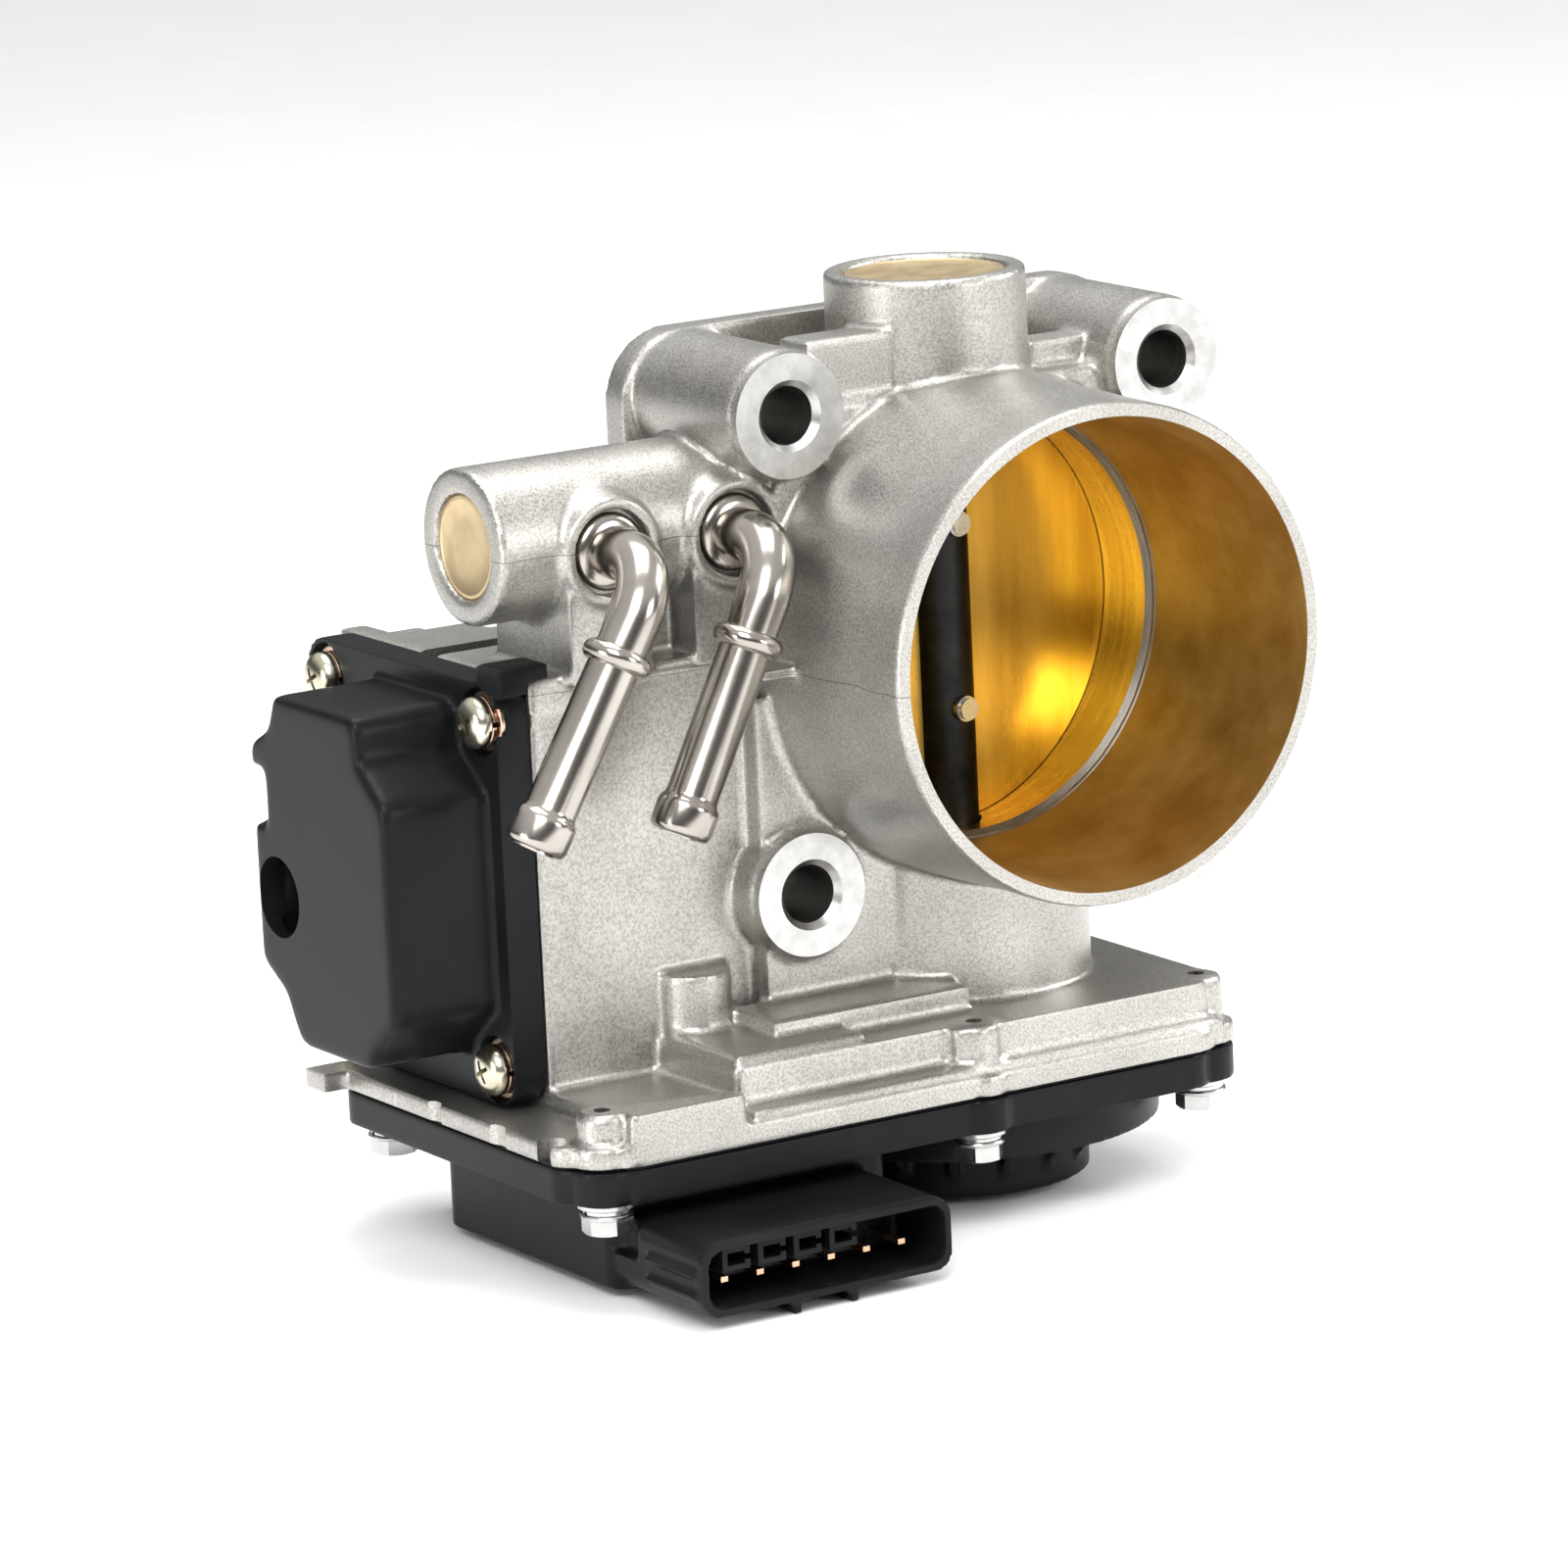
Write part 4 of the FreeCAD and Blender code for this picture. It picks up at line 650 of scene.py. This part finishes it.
def pan_screw(spot, axis):
    """A domed head with a cross recess, seated at spot, with the axis pointing out of the head."""
    dome = [(0, -12.0), (1.68, -12.0), (1.68, 0.0), (3.75, 0.0), (3.95, 0.25), (3.98, 0.9), (3.75, 1.7),
            (3.1, 2.35), (2.1, 2.75), (1.0, 2.92), (0, 2.95)]
    head = revolve("pan_screw", dome, spot, axis, ZINC, 64)
    turn = Vector(axis).to_track_quat("Z", "Y").to_matrix().to_4x4()
    place = Matrix.Translation(Vector(spot) * MM) @ turn @ Matrix.Rotation(math.radians(28), 4, "Z")
    bm = bmesh.new()
    outline = []
    for quarter in range(4):
        spin = math.pi / 2 * quarter
        for x, y in ((0.42, -0.42), (2.15, -0.36), (2.15, 0.36)):
            outline.append((x * math.cos(spin) - y * math.sin(spin), x * math.sin(spin) + y * math.cos(spin)))
    top = [bm.verts.new(place @ Vector((x * MM, y * MM, 4.0 * MM))) for x, y in outline]
    low = [bm.verts.new(place @ Vector((x * MM * 0.62, y * MM * 0.62, 0.9 * MM))) for x, y in outline]
    count = len(outline)
    for i in range(count):
        j = (i + 1) % count
        bm.faces.new([top[i], top[j], low[j], low[i]])
    bm.faces.new(top)
    bm.faces.new(low)
    bmesh.ops.recalc_face_normals(bm, faces=bm.faces)
    mesh = bpy.data.meshes.new("recess")
    bm.to_mesh(mesh)
    bm.free()
    boolean(head, link("recess", mesh), "DIFFERENCE")
    smooth(head, 30)
    return head


SIDE_SCREWS = [(-22.5, -4.5), (-22.0, -58.0), (24.3, -4.5), (24.3, -58.0)]
SIDE_SEAT = -81.5


def side_fasteners():
    """Screws of the side cover with a flat and a spring washer each."""
    screws, washers = [], []
    out = (-1, 0, 0)
    for y, z in SIDE_SCREWS:
        screws.append(pan_screw((SIDE_SEAT - 1.75, y, z), out))
        flat = [(2.2, 0), (4.5, 0), (4.65, 0.12), (4.65, 0.68), (4.5, 0.8), (2.2, 0.8)]
        washers.append(revolve("flat_washer", flat, (SIDE_SEAT - 0.02, y, z), out, WASHER, 64, True))
        washers.append(spring_washer((SIDE_SEAT - 0.87, y, z), out, 2.2, 3.85, 0.8))
    fit_piece(join("side_screw_set", screws), "motor_cover_screws")
    fit_piece(join("side_washer_set", washers), "motor_cover_washers")


def hex_head(spot, turned):
    """A flanged hexagon head, domed and chamfered, pointing down."""
    flange = [(0, 10.2), (1.68, 10.2), (1.68, -0.05), (3.95, -0.05), (4.08, -0.25), (4.0, -0.62),
              (3.5, -0.85), (0, -0.85)]
    stem = revolve("hex_flange", flange, spot, (0, 0, 1), STEEL, 64)
    bm = bmesh.new()
    rings = []
    for radius, height in ((3.85, -0.6), (3.9, -0.9), (3.9, -3.3)):
        rings.append([
            bm.verts.new(Vector((
                spot[0] + radius * math.cos(turned + math.pi / 3 * i),
                spot[1] + radius * math.sin(turned + math.pi / 3 * i), spot[2] + height)) * MM)
            for i in range(6)
        ])
    for low, high in zip(rings, rings[1:]):
        for i in range(6):
            j = (i + 1) % 6
            bm.faces.new([low[i], low[j], high[j], high[i]])
    bm.faces.new(rings[0])
    bm.faces.new(rings[-1])
    bmesh.ops.recalc_face_normals(bm, faces=bm.faces)
    mesh = bpy.data.meshes.new("hex")
    bm.to_mesh(mesh)
    bm.free()
    hexagon = link("hex", mesh, STEEL)
    crown = [(0, 3), (6, 3), (6, -2.2), (3.1, -3.25), (2.6, -3.25), (2.3, -2.9), (0, -2.8)]
    keep = revolve("crown", crown, spot, (0, 0, 1), STEEL, 64)
    boolean(hexagon, keep, "INTERSECT")
    smooth(hexagon, 30)
    return [stem, hexagon]


def case_fasteners():
    """Screws of the gear case cover with a flat and a spring washer each."""
    screws, washers = [], []
    low = -73.2
    for index, (x, y) in enumerate(CASE_SCREWS):
        screws += hex_head((x, y, low - 1.62), 0.35 + 0.5 * index)
        flat = [(2.2, 0), (4.25, 0), (4.38, 0.12), (4.38, 0.68), (4.25, 0.8), (2.2, 0.8)]
        washers.append(revolve("flat_washer", flat, (x, y, low - 0.82), (0, 0, 1), STEEL, 64, True))
        split = spring_washer((x, y, low - 1.60), (0, 0, 1), 2.2, 3.65, 0.74)
        split.data.materials.clear()
        split.data.materials.append(STEEL)
        washers.append(split)
    fit_piece(join("case_screw_set", screws), "gear_cover_screws")
    fit_piece(join("case_washer_set", washers), "gear_cover_washers")


def cup_plugs():
    """Pressed cup plugs: a rolled rim round a shallow dished face."""
    for name, node, spot, axis, radius in (
        ("top_plug_cup", "top_cup_plug", (0, SHAFT_Y, TOP_PLUG_HEIGHT), (0, 0, 1), 12.42),
        ("side_plug_cup", "side_cup_plug", SIDE_PLUG_SPOT, (-1, 0, 0), 7.98),
    ):
        cup = [(0, 0.1), (radius - 0.4, 0.1), (radius, 0.4), (radius, 1.7), (radius - 0.25, 1.96),
               (radius - 0.7, 1.98), (radius - 1.0, 1.80), (radius * 0.5, 1.74), (0, 1.72)]
        fit_piece(revolve(name, cup, spot, axis, BRASS, 128), node)


# ------------------------------------------------------------------ build

housing()
side_cover()
gear_cover()
coolant_pipe("pipe_outer_tube", "coolant_pipe_outer", PIPE_XS[0], 31.2)
coolant_pipe("pipe_inner_tube", "coolant_pipe_inner", PIPE_XS[1], 26.7)
side_fasteners()
case_fasteners()
cup_plugs()

# ------------------------------------------------------------------ floor, light and camera


def studio():
    """A plain pale floor with soft light from the sides and above."""
    low = min(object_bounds()[0][2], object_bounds()[1][2])
    mesh = bpy.data.meshes.new("floor")
    half = 6.0
    mesh.from_pydata([(-half, -half, low), (half, -half, low), (half, half, low), (-half, half, low)], [],
                     [(0, 1, 2, 3)])
    mat, tree, shader = new_material("floor_paper")
    fibres = noise(tree, 40.0)
    tree.links.new(ramp(tree, fibres, [(0.3, (0.93, 0.93, 0.93)), (0.7, (0.95, 0.95, 0.95))]),
                   shader.inputs["Base Color"])
    tree.links.new(remap(tree, fibres, 0.85, 0.95), shader.inputs["Roughness"])
    bump(tree, shader, [(fibres, 0.05, 0.1)])
    link("floor", mesh, mat)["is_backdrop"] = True
    world = bpy.data.worlds.new("studio")
    world.use_nodes = True
    sky = world.node_tree
    coords = sky.nodes.new("ShaderNodeTexCoord")
    split = sky.nodes.new("ShaderNodeSeparateXYZ")
    shade = sky.nodes.new("ShaderNodeValToRGB")
    for element, (position, level) in zip(shade.color_ramp.elements, ((0.0, 0.85), (1.0, 1.0))):
        element.position = position
        element.color = (level, level, level, 1)
    for position, level in ((0.44, 0.80), (0.50, 0.10), (0.62, 0.16), (0.80, 1.0)):
        element = shade.color_ramp.elements.new(position)
        element.color = (level, level, level, 1)
    height = sky.nodes.new("ShaderNodeMapRange")
    height.inputs["From Min"].default_value = -1.0
    sky.links.new(coords.outputs["Generated"], split.inputs["Vector"])
    sky.links.new(split.outputs["Z"], height.inputs["Value"])
    sky.links.new(height.outputs["Result"], shade.inputs["Fac"])
    sky.links.new(shade.outputs["Color"], sky.nodes["Background"].inputs["Color"])
    sky.nodes["Background"].inputs["Strength"].default_value = 0.9
    bpy.context.scene.world = world
    lamps = [
        ("key", (-0.60, -0.70, 0.75), 0.60, 10.0),
        ("right", (0.90, -0.35, 0.45), 0.50, 7.0),
        ("top", (0.05, 0.10, 1.00), 0.70, 10.0),
        ("front", (0.45, -1.10, 0.25), 0.35, 3.5),
        ("left", (-1.10, -0.10, 0.10), 0.40, 4.0),
    ]
    target = Vector((-0.03, -0.03, -0.02))
    for name, spot, width, watts in lamps:
        lamp = bpy.data.lights.new(name, "AREA")
        lamp.shape = "SQUARE"
        lamp.size = width
        lamp.energy = watts
        obj = bpy.data.objects.new(name, lamp)
        obj.location = spot
        obj.rotation_euler = (target - Vector(spot)).to_track_quat("-Z", "Y").to_euler()
        bpy.context.scene.collection.objects.link(obj)


def camera():
    """The camera that matches the product view."""
    azimuth, elevation, roll = (math.radians(a) for a in (-31.6931, 12.2437, -2.6857))
    back = Vector((
        math.sin(azimuth) * math.cos(elevation), -math.cos(azimuth) * math.cos(elevation),
        math.sin(elevation)))
    right = Vector((math.cos(azimuth), math.sin(azimuth), 0))
    up = back.cross(right)
    turned_right = right * math.cos(roll) + up * math.sin(roll)
    turned_up = up * math.cos(roll) - right * math.sin(roll)
    target = Vector((-38.3772, -35.0, -18.9352)) * MM
    distance = 1.2155895
    spot = target + back * distance
    data = bpy.data.cameras.new("camera")
    data.sensor_width = 36.0
    data.lens = 185.056
    data.clip_start = 0.1
    data.clip_end = 30.0
    obj = bpy.data.objects.new("camera", data)
    rows = Matrix((turned_right, turned_up, back)).transposed().to_4x4()
    obj.matrix_world = Matrix.Translation(spot) @ rows
    bpy.context.scene.collection.objects.link(obj)
    bpy.context.scene.camera = obj


studio()
camera()
bpy.context.scene.view_settings.view_transform = "Standard"
